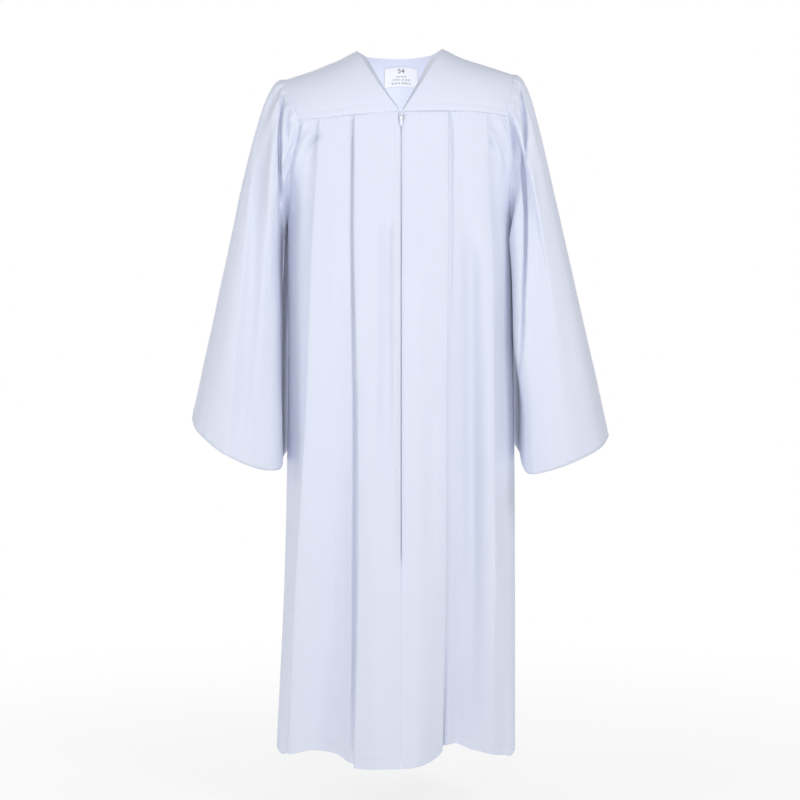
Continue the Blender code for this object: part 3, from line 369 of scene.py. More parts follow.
# Points of a front beside its edge: the first ones, and the band that the zip is sewn through
LIP_POINTS = (0.0, 0.0006, 0.0014)
ZIP_BAND = (0.0024, 0.0144)
ZIP_BAND_COLUMNS = 12


# Curves

@functools.lru_cache(maxsize=None)
def tangents(places, values):
    last = len(places) - 1
    slopes = [(values[i + 1] - values[i]) / (places[i + 1] - places[i]) for i in range(last)]
    inner = []
    for i in range(1, last):
        before = places[i] - places[i - 1]
        after = places[i + 1] - places[i]
        inner.append((slopes[i - 1] * after + slopes[i] * before) / (before + after))
    return [slopes[0]] + inner + [slopes[-1]]


def through(places, values, at):
    """A smooth curve through the values given at rising places, read at one place."""
    places, values = tuple(places), tuple(values)
    last = len(places) - 1
    at = min(max(at, places[0]), places[last])
    step = 0
    while step < last - 1 and at > places[step + 1]:
        step += 1
    slope = tangents(places, values)
    span = places[step + 1] - places[step]
    part = (at - places[step]) / span
    rise = values[step + 1] - values[step]
    start = slope[step] * span
    end = slope[step + 1] * span
    return (values[step] + part * start + part ** 2 * (3 * rise - 2 * start - end)
            + part ** 3 * (start + end - 2 * rise))


@functools.lru_cache(maxsize=None)
def columns(table, place, value):
    return tuple(getattr(row, place) for row in table), tuple(getattr(row, value) for row in table)


def column_of(table, place, value, at):
    return through(*columns(table, place, value), at)


def height(table, x):
    return column_of(table, "x", "z", x)


def blend(start, end, share):
    """The value at a share of the way from start to end."""
    return start + (end - start) * share


def bump(distance, width):
    """A soft hill one high: one at its middle, nothing from the width on."""
    share = min(abs(distance) / width, 1.0)
    return (1 - share ** 2) ** 2


def ease(share):
    """A soft step from 0 to 1."""
    share = min(max(share, 0.0), 1.0)
    return share * share * (3 - 2 * share)


def wander(x, y, seed):
    """Small uneven drift of the cloth, the same on every run."""
    return noise.noise(Vector((x, y, seed)))


# Body outline

def seam_height(fore, x):
    return height(FRONT_YOKE_SEAM, x) if fore == FORE else BACK_YOKE_Z


def hem_height(fore, x):
    return height(FRONT_HEM if fore == FORE else BACK_HEM, x)


@functools.lru_cache(maxsize=None)
def armhole_out(side, angle):
    return column_of(ARMHOLE, "angle", "right" if side == RIGHT else "left", angle % 360)


def armhole_half(side, fore, angle):
    """The armhole's distance out, by an angle that runs over the front or over the back."""
    return armhole_out(side, -fore * angle)


def armhole_height(side, angle):
    share = (1 - math.cos(math.radians(angle))) / 2
    return blend(SHOULDER_TIP_Z[side], UNDERARM_Z, share)


def armhole_angle(side, z):
    share = (SHOULDER_TIP_Z[side] - z) / (SHOULDER_TIP_Z[side] - UNDERARM_Z)
    return math.degrees(math.acos(1 - 2 * min(max(share, 0.0), 1.0)))


def corner_angle(side, fore):
    """How far round the armhole the yoke seam meets it, on the front or on the back."""
    angle = 70.0
    for _ in range(20):
        out = armhole_half(side, fore, angle)
        angle = armhole_angle(side, seam_height(fore, side * out))
    return angle


CORNERS = {(side, fore): corner_angle(side, fore) for side in (RIGHT, LEFT) for fore in (FORE, AFT)}


def corner_out(side, fore):
    return armhole_half(side, fore, CORNERS[side, fore])


def half_width(side, way):
    halves = [section.right if side == RIGHT else section.left for section in SECTIONS]
    return through(STATIONS, halves, way)


def edge_ends(side, fore):
    """Heights of the two ends of a panel's side edge, at the yoke seam and at the hem."""
    top = seam_height(fore, side * corner_out(side, fore))
    return top, hem_height(fore, side * half_width(side, 1.0))


def way_of_height(side, fore, z):
    top, hem = edge_ends(side, fore)
    return (top - z) / (top - hem)


class Outline:
    """The plain outline of one quarter of the body at one way down, before folds."""

    def __init__(self, side, fore, way):
        self.side, self.fore, self.way = side, fore, way
        self.depth = through(STATIONS, [s.fore if fore == FORE else s.aft for s in SECTIONS], way)
        underarm = way_of_height(side, fore, UNDERARM_Z)
        share = min(max(way / underarm, 0.0), 1.0)
        self.half = half_width(side, way) + CHEST_EASE * (1 - share) ** 2 * (1 + 2 * share)
        self.edge_out = self.half
        if way < underarm:
            angle = armhole_angle(side, blend(*edge_ends(side, fore), way))
            self.edge_out = armhole_half(side, fore, angle)
        self.seam_out = corner_out(side, fore)
        self.hem_out = half_width(side, 1.0)

    def reach(self, out):
        share = min(max(out, 0.0) / self.half, 1.0)
        return self.depth * (1 - share ** SECTION_POWER) ** (1 / SECTION_POWER)

    def turn(self, out):
        return math.asin(min((out / self.half) ** (SECTION_POWER / 2), 1.0))

    def out_at(self, turn):
        return self.half * math.sin(turn) ** (2 / SECTION_POWER)

    def level(self, out):
        share = out / self.edge_out
        top = seam_height(self.fore, self.side * share * self.seam_out)
        hem = hem_height(self.fore, self.side * share * self.hem_out)
        return blend(top, hem, self.way), (top - hem)

    def point(self, out, stand):
        """A point of the cloth, standing out from the plain outline towards the front or the back."""
        centre = CENTRE_X * (1 - out / self.edge_out) if self.fore == FORE else 0.0
        level, _ = self.level(out)
        return Vector((centre + self.side * out, self.fore * (self.reach(out) + stand), level))


def ridge_height(side, fore, out):
    """Height of the shoulder line; the front yokes stay level with it inside the neck's corner."""
    return height(SHOULDER_LINE, side * (max(out, NECK_HALF[side]) if fore == FORE else out))


def yoke_way(side, fore, out, z):
    """The way down the yoke's surface, from the shoulder line (0) to the yoke seam (1), at a height."""
    seam = seam_height(fore, side * out)
    ridge = ridge_height(side, fore, out)
    drop = min(max((z - seam) / (ridge - seam), 0.0), 1.0)
    return math.acos(drop ** (YOKE_POWER[fore] / 2)) / (math.pi / 2)


@functools.lru_cache(maxsize=None)
def armhole_place(side, angle):
    """The point of the armhole's edge at an angle, where yoke, panel and sleeve meet."""
    fore = FORE if angle % 360 < 180 else AFT
    out = armhole_out(side, angle)
    z = armhole_height(side, angle)
    turned = min(angle % 360, 360 - angle % 360)
    if turned <= CORNERS[side, fore]:
        turn = yoke_way(side, fore, out, z) * math.pi / 2
        away = Outline(side, fore, 0.0).reach(out) * math.sin(turn) ** (2 / YOKE_POWER[fore])
    else:
        away = Outline(side, fore, way_of_height(side, fore, z)).reach(out)
    return side * out, fore * away, z


# Cloth detail shared by the pieces

def seam_roll(distance, depth=0.0016, reach=0.0035):
    """How far cloth dips towards a seam that is this far away."""
    return -depth * math.exp(-(distance / reach) ** 2)


def hem_relief(distance, along, seed):
    """Doubled cloth of a hem up to its stitch line, and the puckers along that line."""
    doubled = 0.0004 * (1 - ease((distance - HEM_DEPTH) / 0.002))
    groove = -0.0007 * bump(distance - HEM_DEPTH, 0.0022)
    wave = math.sin(along * math.tau / HEM_WAVE + 3.0 * wander(along * 12, 0.0, seed))
    return doubled + groove + 0.0005 * wave * bump(distance - HEM_DEPTH * 0.75, HEM_DEPTH * 0.9)


def tucked(row, move):
    """One more row of cloth, which goes under the piece that it is sewn to."""
    return [point + move for point in row]


def crease_relief(creases, x, z):
    """How far straight or bowed creases raise the cloth at a place; each fades towards its ends."""
    total = 0.0
    for crease in creases:
        run_x, run_z = crease.x_to - crease.x_from, crease.z_to - crease.z_from
        length = math.hypot(run_x, run_z)
        along = ((x - crease.x_from) * run_x + (z - crease.z_from) * run_z) / length ** 2
        if -0.02 < along < 1.0:
            across = ((x - crease.x_from) * run_z - (z - crease.z_from) * run_x) / length
            across -= crease.bow * 4 * along * (1 - along) * (1 if run_z < 0 else -1)
            fade = ease((along + 0.02) / 0.12) * ease((1 - along) / 0.45)
            total += crease.depth * fade * bump(across, crease.width)
    return total


@functools.lru_cache(maxsize=None)
def long_columns(crease):
    return tuple(-z for x, z, depth in crease.places), tuple(zip(*crease.places))


def long_relief(creases, x, z):
    """How far the long creases that bend raise the cloth at a place."""
    total = 0.0
    for crease in creases:
        downs, (places, _, depths) = long_columns(crease)
        if downs[0] < -z < downs[-1]:
            away = x - through(downs, places, -z)
            total += through(downs, depths, -z) * bump(away, crease.below_x if away < 0 else crease.above_x)
    return total


# Front panels

def front_way(z):
    top = seam_height(FORE, CENTRE_X)
    return (top - z) / (top - hem_height(FORE, CENTRE_X))


# Ways down at which the opening between the fronts changes
SPREAD_END = front_way(ZIP_TOP_Z)
LIPS_CLOSE = front_way(ZIP_TOP_Z - 0.020)
ZIP_END = front_way(ZIP_END_Z)
SEAM_START = front_way(ZIP_END_Z - 0.010)
SLIT_START = front_way(hem_height(FORE, CENTRE_X) + 0.016)


def lip_place(way):
    """Half the opening between the fronts: at the slider, zip, closed seam and slit."""
    places = (0.0, SPREAD_END, LIPS_CLOSE, ZIP_END, SEAM_START, SLIT_START, 1.0)
    widths = (LIP_SPREAD, LIP_SPREAD, LIP_HALF, LIP_HALF, 0.0, 0.0, SLIT_HALF)
    for start in range(len(places) - 1):
        if way <= places[start + 1]:
            share = (way - places[start]) / (places[start + 1] - places[start])
            return blend(widths[start], widths[start + 1], share)
    return widths[-1]


class FrontRow:
    """One row of a front panel, at one way down from the yoke seam."""

    def __init__(self, side, way):
        self.side, self.way = side, way
        self.outline = Outline(side, FORE, way)
        lines = FRONT_LINES[side]
        self.lines = {line.name: through(STATIONS, line.x, way) for line in lines}
        self.lines["lip"] = lip_place(way)
        self.places = tuple(through(STATIONS, line.x, way) for line in lines) + (self.outline.half,)
        self.stands = tuple(through(STATIONS, line.out, way) for line in lines) + (0.0,)
        names = [line.name for line in lines]
        self.breaks = [names.index("inner pleat"), names.index("outer pleat"), len(names)]

    def stand(self, out):
        """How far the top layer stands out; the curve starts afresh at each pleat."""
        start = 0
        for end in self.breaks:
            if out <= self.places[end] or end == self.breaks[-1]:
                return through(self.places[start:end + 1], self.stands[start:end + 1], out)
            start = end

    def relief(self, out):
        """Seams, creases, hem and drift of the top layer, the zip's sewing and the yoke seam's tucks."""
        level, drop = self.outline.level(out)
        x = self.side * out
        below_seam = self.way * drop
        above_hem = (1 - self.way) * drop
        armhole = seam_roll(self.outline.edge_out - out) * (level > UNDERARM_Z)
        raised = seam_roll(below_seam, 0.0006) + armhole
        creased = crease_relief(FRONT_CREASES, x, level)
        raised += creased + long_relief(FRONT_LONG_CREASES[self.side], x, level)
        raised += hem_relief(above_hem, x, self.side)
        raised += 0.0012 * wander(x * 14, level * 5, 2.0) + 0.0005 * wander(x * 45, level * 14, 5.0)
        shut = ease((level - ZIP_END_Z + 0.05) / 0.05)
        near = out - self.lines["lip"]
        pucker = math.sin(level * math.tau / ZIP_WAVE + 2.5 * wander(0, level * 30, self.side))
        stitch = ZIP_STITCH[self.side]
        padded = 0.0006 * bump(near - stitch / 2, stitch / 2)
        raised += shut * (padded - 0.0007 * bump(near - stitch, STITCH_GROOVE))
        raised += shut * 0.0004 * pucker * bump(near - stitch, 0.007)
        rolled = blend(0.0004, 0.0014, ease((level - ZIP_END_Z + 0.12) / 0.12))
        raised -= rolled * math.exp(-(near / 0.0012) ** 2)
        tucks = math.sin(out * math.tau / TUCK_WAVE + self.side)
        raised += 0.0006 * tucks * math.exp(-below_seam / 0.012) * ease(out / 0.02)
        return raised

    def point(self, out, under=0.0):
        return self.outline.point(out, self.stand(out) - under + self.relief(out))

    def spread(self, start, end, steps):
        return [self.point(blend(start, end, step / steps)) for step in range(steps)]

    def pleat(self, name):
        """The points of one pleat: its turned edge, the cloth folded under, and the layer below."""
        edge = self.lines[name]
        shape = PLEATS[self.side, name]
        opened = through(shape.ways, shape.under, self.way)
        under = max(opened, 0.0)
        part = through(shape.ways, shape.part, self.way)
        layer = HALF_LAYER * through(shape.ways, shape.layers, self.way)
        radius = FOLD_RADIUS * min(under / 0.006, 1.0)
        inner = edge - under
        end = max(edge + 0.003, inner + 0.006)
        lower = 4 * layer + part
        places = []
        for step in range(7):
            turn = math.pi * step / 6
            places.append((edge - radius + radius * math.sin(turn), layer * (1 - math.cos(turn))))
        for step in range(1, 4):
            places.append((blend(edge - radius, inner + radius, step / 4), 2 * layer + part / 2 * step / 4))
        for step in range(5):
            turn = math.pi * step / 4
            depth = 2 * layer + part / 2 + layer * (1 - math.cos(turn))
            places.append((inner + radius - radius * math.sin(turn), depth))
        for step in range(1, 5):
            out = blend(inner + radius, end, step / 4)
            places.append((out, blend(4 * layer + part / 2, lower, step / 4)))
        folded = ease(opened / 0.005)
        sewn = blend(0.12, 1.0, ease(self.way * PANEL_LENGTH / 0.007))
        first = edge - FOLD_RADIUS
        points = []
        for number, (out, depth) in enumerate(places):
            flat = blend(first, end, (number + 0.5) / len(places))
            points.append(self.point(blend(flat, out, folded), depth * folded * sewn))
        return points, end, lower * folded * sewn

    def easing(self, start, end, lower, steps):
        """Points beyond a pleat, where the lower layer comes back up to the surface."""
        shares = [step / steps for step in range(1, steps + 1)]
        return [self.point(blend(start, end, share), lower * (1 - share) ** 2) for share in shares]

    def points(self):
        lip = self.lines["lip"]
        band_start, band_end = lip + ZIP_BAND[0], lip + ZIP_BAND[1]
        row = [self.point(lip + away) for away in LIP_POINTS]
        row += self.spread(band_start, band_end, ZIP_BAND_COLUMNS)
        row += self.spread(band_end, self.lines["middle"], 6)
        row += self.spread(self.lines["middle"], self.lines["inner pleat"] - FOLD_RADIUS, 10)
        fold, end, lower = self.pleat("inner pleat")
        row += fold + self.easing(end, self.lines["hollow"], lower, 10)
        row += self.spread(self.lines["hollow"], self.lines["plain"], 8)[1:]
        row += self.spread(self.lines["plain"], self.lines["outer pleat"] - FOLD_RADIUS, 8)
        fold, end, lower = self.pleat("outer pleat")
        row += fold + self.easing(end, self.lines["flank"], lower, 6)
        start = self.outline.turn(self.lines["flank"])
        finish = self.outline.turn(self.outline.edge_out)
        turns = [blend(start, finish, step / 8) for step in range(1, 9)]
        row += [self.point(self.outline.out_at(turn)) for turn in turns[:-1]]
        row.append(self.outline.point(self.outline.edge_out, 0.0))
        return row


def panel_ways():
    """Ways down a panel, closer together under the yoke seam and over the hem."""
    top = [place / PANEL_LENGTH for place in TOP_ROWS]
    hem = [1 - place / PANEL_LENGTH for place in HEM_ROWS]
    middle = [blend(top[-1], hem[-1], step / BODY_ROWS) for step in range(1, BODY_ROWS)]
    return top + middle + list(reversed(hem))


def front_rows(side):
    rows = [FrontRow(side, way).points() for way in panel_ways()]
    return [tucked(rows[0], Vector((0, 0.0006, SEAM_UNDER)))] + rows


# Back panel

def back_stand(way, x):
    """How far the back's flutes stand out at a signed x."""
    places = [blend(flute.x_seam, flute.x_hem, way) for flute in FLUTES]
    stands = [through(STATIONS, (0.0,) + flute[2:], way) for flute in FLUTES]
    places = [-half_width(RIGHT, way)] + places + [half_width(LEFT, way)]
    return through(places, [0.0] + stands + [0.0], x)


def back_relief(outline, out):
    """Seams, hem and drift of the back, and its gathers under the yoke seam."""
    level, drop = outline.level(out)
    x = outline.side * out
    below_seam = outline.way * drop
    raised = seam_roll(below_seam) + seam_roll(outline.edge_out - out) * (level > UNDERARM_Z)
    raised += hem_relief((1 - outline.way) * drop, x, 7.0)
    raised += 0.0014 * wander(x * 13, level * 4, 9.0) + 0.0006 * wander(x * 40, level * 12, 11.0)
    gathers = math.sin(x * math.tau / GATHER_WAVE + 1.5 * wander(x * 25, 0.0, 13.0))
    length = 0.030 + 0.020 * wander(x * 30, 1.0, 14.0)
    return raised + 0.0016 * gathers * math.exp(-below_seam / length) * ease((0.165 - out) / 0.02)


def back_row(way):
    """Points across the back: even turns round each edge, even steps over the middle."""
    row = []
    turns = 2 * BACK_EDGE_COLUMNS
    for side in (RIGHT, LEFT):
        outline = Outline(side, AFT, way)
        finish = outline.turn(outline.edge_out)
        inner = outline.out_at(finish / 2)
        last = 0 if side == LEFT else -1
        outs = [outline.out_at(finish * step / turns) for step in range(turns - 1, BACK_EDGE_COLUMNS, -1)]
        outs += [inner * step / BACK_MIDDLE_COLUMNS for step in range(BACK_MIDDLE_COLUMNS, last, -1)]
        points = [outline.point(outline.edge_out, 0.0)]
        for out in outs:
            points.append(outline.point(out, back_stand(way, side * out) + back_relief(outline, out)))
        row += points if side == RIGHT else list(reversed(points))
    return row


def back_rows():
    rows = [back_row(way) for way in panel_ways()]
    return [tucked(rows[0], Vector((0, -0.0006, SEAM_UNDER)))] + rows


# Yokes

def yoke_point(side, fore, out, way, relief=0.0):
    """A point of the yoke's surface: way 0 is the shoulder line, 1 the yoke seam."""
    turn = way * math.pi / 2
    reach = math.sin(turn) ** (2 / YOKE_POWER[fore])
    drop = max(math.cos(turn), 0.0) ** (2 / YOKE_POWER[fore])
    away = Outline(side, fore, 0.0).reach(out) * reach + relief * reach ** 0.5
    seam = seam_height(fore, side * out)
    ridge = ridge_height(side, fore, out)
    return Vector((side * out, fore * away, blend(seam, ridge, drop) + relief * drop ** 2))


def yoke_steps(side, fore):
    """Distance out and way of each yoke row where it meets the armhole."""
    steps = []
    for step in range(YOKE_ROWS + 1):
        angle = CORNERS[side, fore] * step / YOKE_ROWS
        out = armhole_half(side, fore, angle)
        steps.append((out, yoke_way(side, fore, out, armhole_height(side, angle))))
    return steps


def yoke_relief(side, out, outer, inner, way, seed):
    """Seams all round the yoke, and its small drift."""
    above_seam = (1 - way) * YOKE_LENGTH
    raised = seam_roll(outer - out, 0.0006) + seam_roll(way * SHOULDER_LENGTH, 0.0006, 0.003)
    padded = 0.0005 * bump(above_seam - 0.003, 0.003)
    raised += padded - 0.0005 * bump(above_seam - YOKE_STITCH, STITCH_GROOVE)
    raised += 0.0010 * wander(side * out * 15, way * 1.5, seed) + 0.0004 * wander(out * 50, way * 6, seed)
    return raised - 0.0005 * bump(out - inner - NECK_STITCH, STITCH_GROOVE)


# Facing turned in along the V: how far it shows at the point of the V and at the shoulder
NECK_FACING = {RIGHT: (0.003, 0.014), LEFT: (0.003, 0.018)}
FACING_SHARES = (1.0, 0.8, 0.6, 0.4, 0.25, 0.14, 0.07, 0.02)
V_BOW = 0.006


def front_yoke_rows(side):
    """Rows run down from the shoulder; columns run out from the V, whose facing is turned in."""
    rows = []
    for outer, way in yoke_steps(side, FORE):
        drop = max(math.cos(way * math.pi / 2), 0.0) ** (2 / YOKE_POWER[FORE])
        inner = blend(V_POINT_HALF, NECK_HALF[side], drop) + V_BOW * 4 * drop * (1 - drop)
        centre = CENTRE_X * (1 - drop)
        turned = blend(*NECK_FACING[side], drop) * min(drop / 0.08, 1.0)
        edge = yoke_point(side, FORE, inner, way) + Vector((centre, 0, 0))
        row = []
        for share in FACING_SHARES:
            inward = turned * share
            deep = 0.0020 * (1 - math.exp(-share / 0.05)) + turned * 1.7 * share
            row.append(edge + Vector((-side * inward, deep, -0.25 * inward)))
        for step in range(YOKE_COLUMNS + 1):
            out = blend(inner, outer, (step / YOKE_COLUMNS) ** 1.15)
            relief = yoke_relief(side, out, outer, inner, way, 21.0 + side)
            point = yoke_point(side, FORE, out, way, relief)
            point.x += centre * (1 - step / YOKE_COLUMNS)
            row.append(point)
        rows.append(row)
    return rows


def neck_way(side, out):
    """The way at which the back neck edge crosses the yoke's surface."""
    if out >= NECK_HALF[side]:
        return 0.0
    reach = NECK_BACK * math.sqrt(1 - (out / NECK_HALF[side]) ** 2)
    deep = Outline(side, AFT, 0.0).reach(out)
    return 2 / math.pi * math.asin((reach / deep) ** (YOKE_POWER[AFT] / 2))


def back_yoke_shares(side):
    """Shares of the way out for the back yoke's columns, closer together at the neck's corner."""
    neck = NECK_HALF[side] / armhole_out(side, 0)
    turns = [step / BACK_NECK_COLUMNS * math.pi / 2 for step in range(BACK_NECK_COLUMNS + 1)]
    inside = [neck * math.sin(turn) for turn in turns]
    steps = range(1, BACK_SHOULDER_COLUMNS + 1)
    return inside + [blend(neck, 1.0, step / BACK_SHOULDER_COLUMNS) for step in steps]


def back_yoke_columns(side):
    found = []
    for share in back_yoke_shares(side):
        column = []
        for outer, way in yoke_steps(side, AFT):
            out = share * outer
            here = blend(neck_way(side, out), 1.0, way)
            relief = yoke_relief(side, out, outer, -0.1, way, 31.0)
            column.append(yoke_point(side, AFT, out, here, relief))
        found.append(column)
    return found


def back_yoke_rows():
    found = list(reversed(back_yoke_columns(RIGHT))) + back_yoke_columns(LEFT)[1:]
    return [[column[step] for column in found] for step in range(YOKE_ROWS + 1)]


# Sleeves

@functools.lru_cache(maxsize=None)
def meridian(side, angle):
    angle = angle % 360
    return tuple(column_of(SLEEVES[side], "angle", name, angle) for name in Meridian._fields[1:])


def sleeve_plain(side, angle, way):
    """The sleeve before its folds: way 0 is the armhole seam, 1 the cuff's edge."""
    puff_out, puff_fore, puff_up, cuff_out, cuff_fore, cuff_z = meridian(side, angle)
    start = Vector(armhole_place(side, angle % 360))
    cuff = Vector((side * cuff_out, -cuff_fore, cuff_z))
    puff = Vector((side * puff_out, -puff_fore, puff_up))
    grown = blend(1 - math.exp(-way / PUFF_SLOW), 1 - math.exp(-way / PUFF_QUICK), PUFF_QUICK_SHARE)
    inner = INNER_FOLDS[side]
    shown = bump(angle % 360 - inner.angle, inner.width) * ease(way / 0.14) * ease((0.85 - way) / 0.40)
    beside = Vector((side * inner.out, -inner.fore, 0.0)) * shown
    return start.lerp(cuff, way) + puff * (grown * (1 - way)) + beside


def sleeve_normal(side, angle, way):
    step = 0.004
    low, high = max(way - step, 0.0), min(way + step, 1.0)
    along = sleeve_plain(side, angle, high) - sleeve_plain(side, angle, low)
    round_it = sleeve_plain(side, angle + 1.0, way) - sleeve_plain(side, angle - 1.0, way)
    return (along.cross(round_it) * side).normalized()


def sleeve_fold(side, angle, way):
    """How deep the folds draw the sleeve in at a place."""
    total = 0.0
    for fold in SLEEVE_FOLDS[side]:
        middle = blend(fold.armhole, fold.cuff, way)
        away = (angle - middle + 180) % 360 - 180
        grown = 1 - math.exp(-way / 0.015)
        if fold.start:
            grown = ease((way - fold.start) / 0.25)
        fade = max(1 - way / fold.end, 0.0)
        total += fold.depth * grown * fade * bump(away, fold.width + 14 * way)
    return total


def sleeve_crease(side, way, place):
    """How far the listed folds bring the front of the sleeve forward."""
    if place.y > 0.0:
        return 0.0
    raised = crease_relief(SLEEVE_CREASES[side], place.x, place.z)
    raised += long_relief(LONG_CREASES[side], place.x, place.z)
    return raised * ease(-place.y / 0.03) * ease(way / 0.012)


def sleeve_relief(side, angle, way):
    """Fine gathers at the armhole, the cuff's hem and small drift."""
    length = SLEEVE_LENGTH * way
    cap = ease((130 - min(angle, 360 - angle)) / 30)
    reach = 0.022 + 0.016 * wander(angle / 17, 0.0, 40.0 + side)
    gathers = math.sin(math.radians(angle) * 37 + 2.2 * wander(angle / 20, 2.0, 41.0))
    raised = 0.0011 * cap * gathers * (1 - math.exp(-length / 0.003)) * math.exp(-length / reach)
    raised += seam_roll(length, 0.0008, 0.003)
    turn = math.radians(angle)
    raised += hem_relief((1 - way) * SLEEVE_LENGTH, turn * CUFF_RADIUS, 43.0 + side)
    drift = Vector((math.cos(turn) * 1.6, math.sin(turn) * 1.6, way * 3.5 + side * 10))
    fine = Vector((math.cos(turn) * 5, math.sin(turn) * 5, way * 9 + side * 10))
    return raised + 0.0020 * noise.noise(drift) * ease(way / 0.1) + 0.0006 * noise.noise(fine)


def sleeve_angles():
    """Angles of the columns, much closer together in front than behind, from the hidden inner side on."""
    shares = [step / SLEEVE_COLUMNS for step in range(SLEEVE_COLUMNS)]
    moves = [FRONT_CROWDING * math.sin(math.tau * (share - 0.75)) for share in shares]
    return [(180 + 360 * (share - move)) % 360 for share, move in zip(shares, moves)]


def sleeve_way(step):
    """Way down a sleeve of one of its rows, which lie closer together near the armhole."""
    share = step / SLEEVE_ROWS
    return CAP_CROWDING * share ** CAP_POWER + (1 - CAP_CROWDING) * share if share < 1 else 1.0


def sleeve_rows(side):
    rows = []
    for step in range(SLEEVE_ROWS + 1):
        way = sleeve_way(step)
        row = []
        for angle in sleeve_angles():
            normal = sleeve_normal(side, angle, way)
            place = sleeve_plain(side, angle, way)
            lift = sleeve_relief(side, angle, way) - sleeve_fold(side, angle, way)
            row.append(place + normal * lift - Vector((0, sleeve_crease(side, way, place), 0)))
        rows.append(row)
    return [tucked(rows[0], Vector((-side * SEAM_UNDER, 0, 0)))] + rows


# Meshes

def finished(name, form, finish, body="robe", replaces=()):
    """Turn a bmesh into a smooth piece of the robe that rides on its body."""
    mesh = bpy.data.meshes.new(name)
    form.to_mesh(mesh)
    form.free()
    mesh.shade_smooth()
    mesh.materials.append(finish)
    piece = bpy.data.objects.new(name, mesh)
    bpy.context.scene.collection.objects.link(piece)
    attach(piece, body)
    if replaces:
        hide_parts(*replaces)
    return piece


def net(rows, closed=False):
    """A grid of faces moved onto rows of points, with a cut map in metres across and down the cloth."""
    across = len(rows[0]) + (1 if closed else 0)
    form = bmesh.new()
    bmesh.ops.create_grid(form, x_segments=across - 1, y_segments=len(rows) - 1, size=1.0)
    form.verts.ensure_lookup_table()
    places = {}
    down = [0.0] * across
    for number, points in enumerate(rows):
        run = 0.0
        middle = sum((points[i] - points[i - 1]).length for i in range(1, len(points))) / 2
        for column in range(across):
            here = points[column % len(points)]
            if column:
                run += (here - points[column - 1]).length
            if number:
                down[column] += (here - rows[number - 1][column % len(points)]).length
            places[number * across + column] = (run - middle, down[column])
    cut = form.loops.layers.uv.new("cut")
    for face in form.faces:
        for loop in face.loops:
            loop[cut].uv = places[loop.vert.index]
    for index, vert in enumerate(form.verts):
        row, column = divmod(index, across)
        vert.co = rows[row][column % len(rows[0])]
    if closed:
        bmesh.ops.remove_doubles(form, verts=form.verts, dist=1e-6)
    bmesh.ops.recalc_face_normals(form, faces=form.faces)
    return form


def cloth(name, rows, finish, replaces, closed=False, wall=CLOTH):
    """A sheet of cloth on rows of points, with its wall, in place of the nodes that it replaces."""
    piece = finished(name, net(rows, closed), finish, replaces=replaces)
    thicken = piece.modifiers.new("wall", "SOLIDIFY")
    thicken.thickness = wall
    thicken.offset = 0.0
    thicken.use_even_offset = False
    return piece


def stitches(name, runs, finish, length=0.0026, gap=0.0009, wide=0.00022):
    """Short threads along runs of (point, outward normal)."""
    form = bmesh.new()
    for run in runs:
        left = 0.0
        for (start, normal), (end, _) in zip(run, run[1:]):
            span = (end - start).length
            along = (end - start).normalized()
            while left < span:
                middle = start + along * left + normal * (CLOTH / 2 + wide * 0.5)
                made = bmesh.ops.create_icosphere(form, subdivisions=1, radius=1.0)["verts"]
                across = along.cross(normal).normalized()
                for vert in made:
                    x, y, z = vert.co
                    vert.co = middle + along * (x * length / 2) + across * (y * wide) + normal * (z * wide)
                left += length + gap
            left -= span
    return finished(name, form, finish)


# Finishes

def feed(tree, node, sockets):
    """Give sockets of a node their plain values, or link them to other nodes' outputs."""
    for socket, value in sockets.items():
        if isinstance(value, bpy.types.NodeSocket):
            tree.links.new(value, node.inputs[socket])
        else:
            node.inputs[socket].default_value = value


def add_node(tree, kind, sockets=None, **settings):
    """A shader node with its settings and what its sockets are given."""
    node = tree.nodes.new("ShaderNode" + kind)
    for setting, value in settings.items():
        setattr(node, setting, value)
    feed(tree, node, sockets or {})
    return node


def new_finish(name):
    """A material with its node tree and its shader."""
    made = bpy.data.materials.new(name)
    made.use_nodes = True
    return made, made.node_tree, made.node_tree.nodes["Principled BSDF"]


def weave_group():
    """Fine crepe weave: thread height and a slight change of shade, from a place on the cloth in metres."""
    group = bpy.data.node_groups.new("crepe weave", "ShaderNodeTree")
    for name, way, kind in (("Place", "INPUT", "Vector"), ("Threads", "INPUT", "Float"),
                            ("Height", "OUTPUT", "Float"), ("Shade", "OUTPUT", "Float")):
        group.interface.new_socket(name, in_out=way, socket_type="NodeSocket" + kind)
    taken = group.nodes.new("NodeGroupInput").outputs
    given = group.nodes.new("NodeGroupOutput")
    split = add_node(group, "SeparateXYZ", {0: taken["Place"]})
    waves = []
    for axis in ("X", "Y"):
        turn = add_node(group, "Math", {0: split.outputs[axis], 1: taken["Threads"]}, operation="MULTIPLY")
        waves.append(add_node(group, "Math", {0: turn.outputs[0]}, operation="SINE").outputs[0])
    cross = add_node(group, "Math", {0: waves[0], 1: waves[1]}, operation="MULTIPLY")
    grain = add_node(group, "TexNoise", {"Scale": 900.0, "Detail": 2.0, "Vector": taken["Place"]})
    mixed = add_node(group, "Math", {0: cross.outputs[0], 1: grain.outputs["Fac"]}, operation="ADD")
    soft = add_node(group, "TexNoise", {"Scale": 7.0, "Detail": 3.0, "Vector": taken["Place"]})
    feed(group, given, {"Height": mixed.outputs[0], "Shade": soft.outputs["Fac"]})
    return group


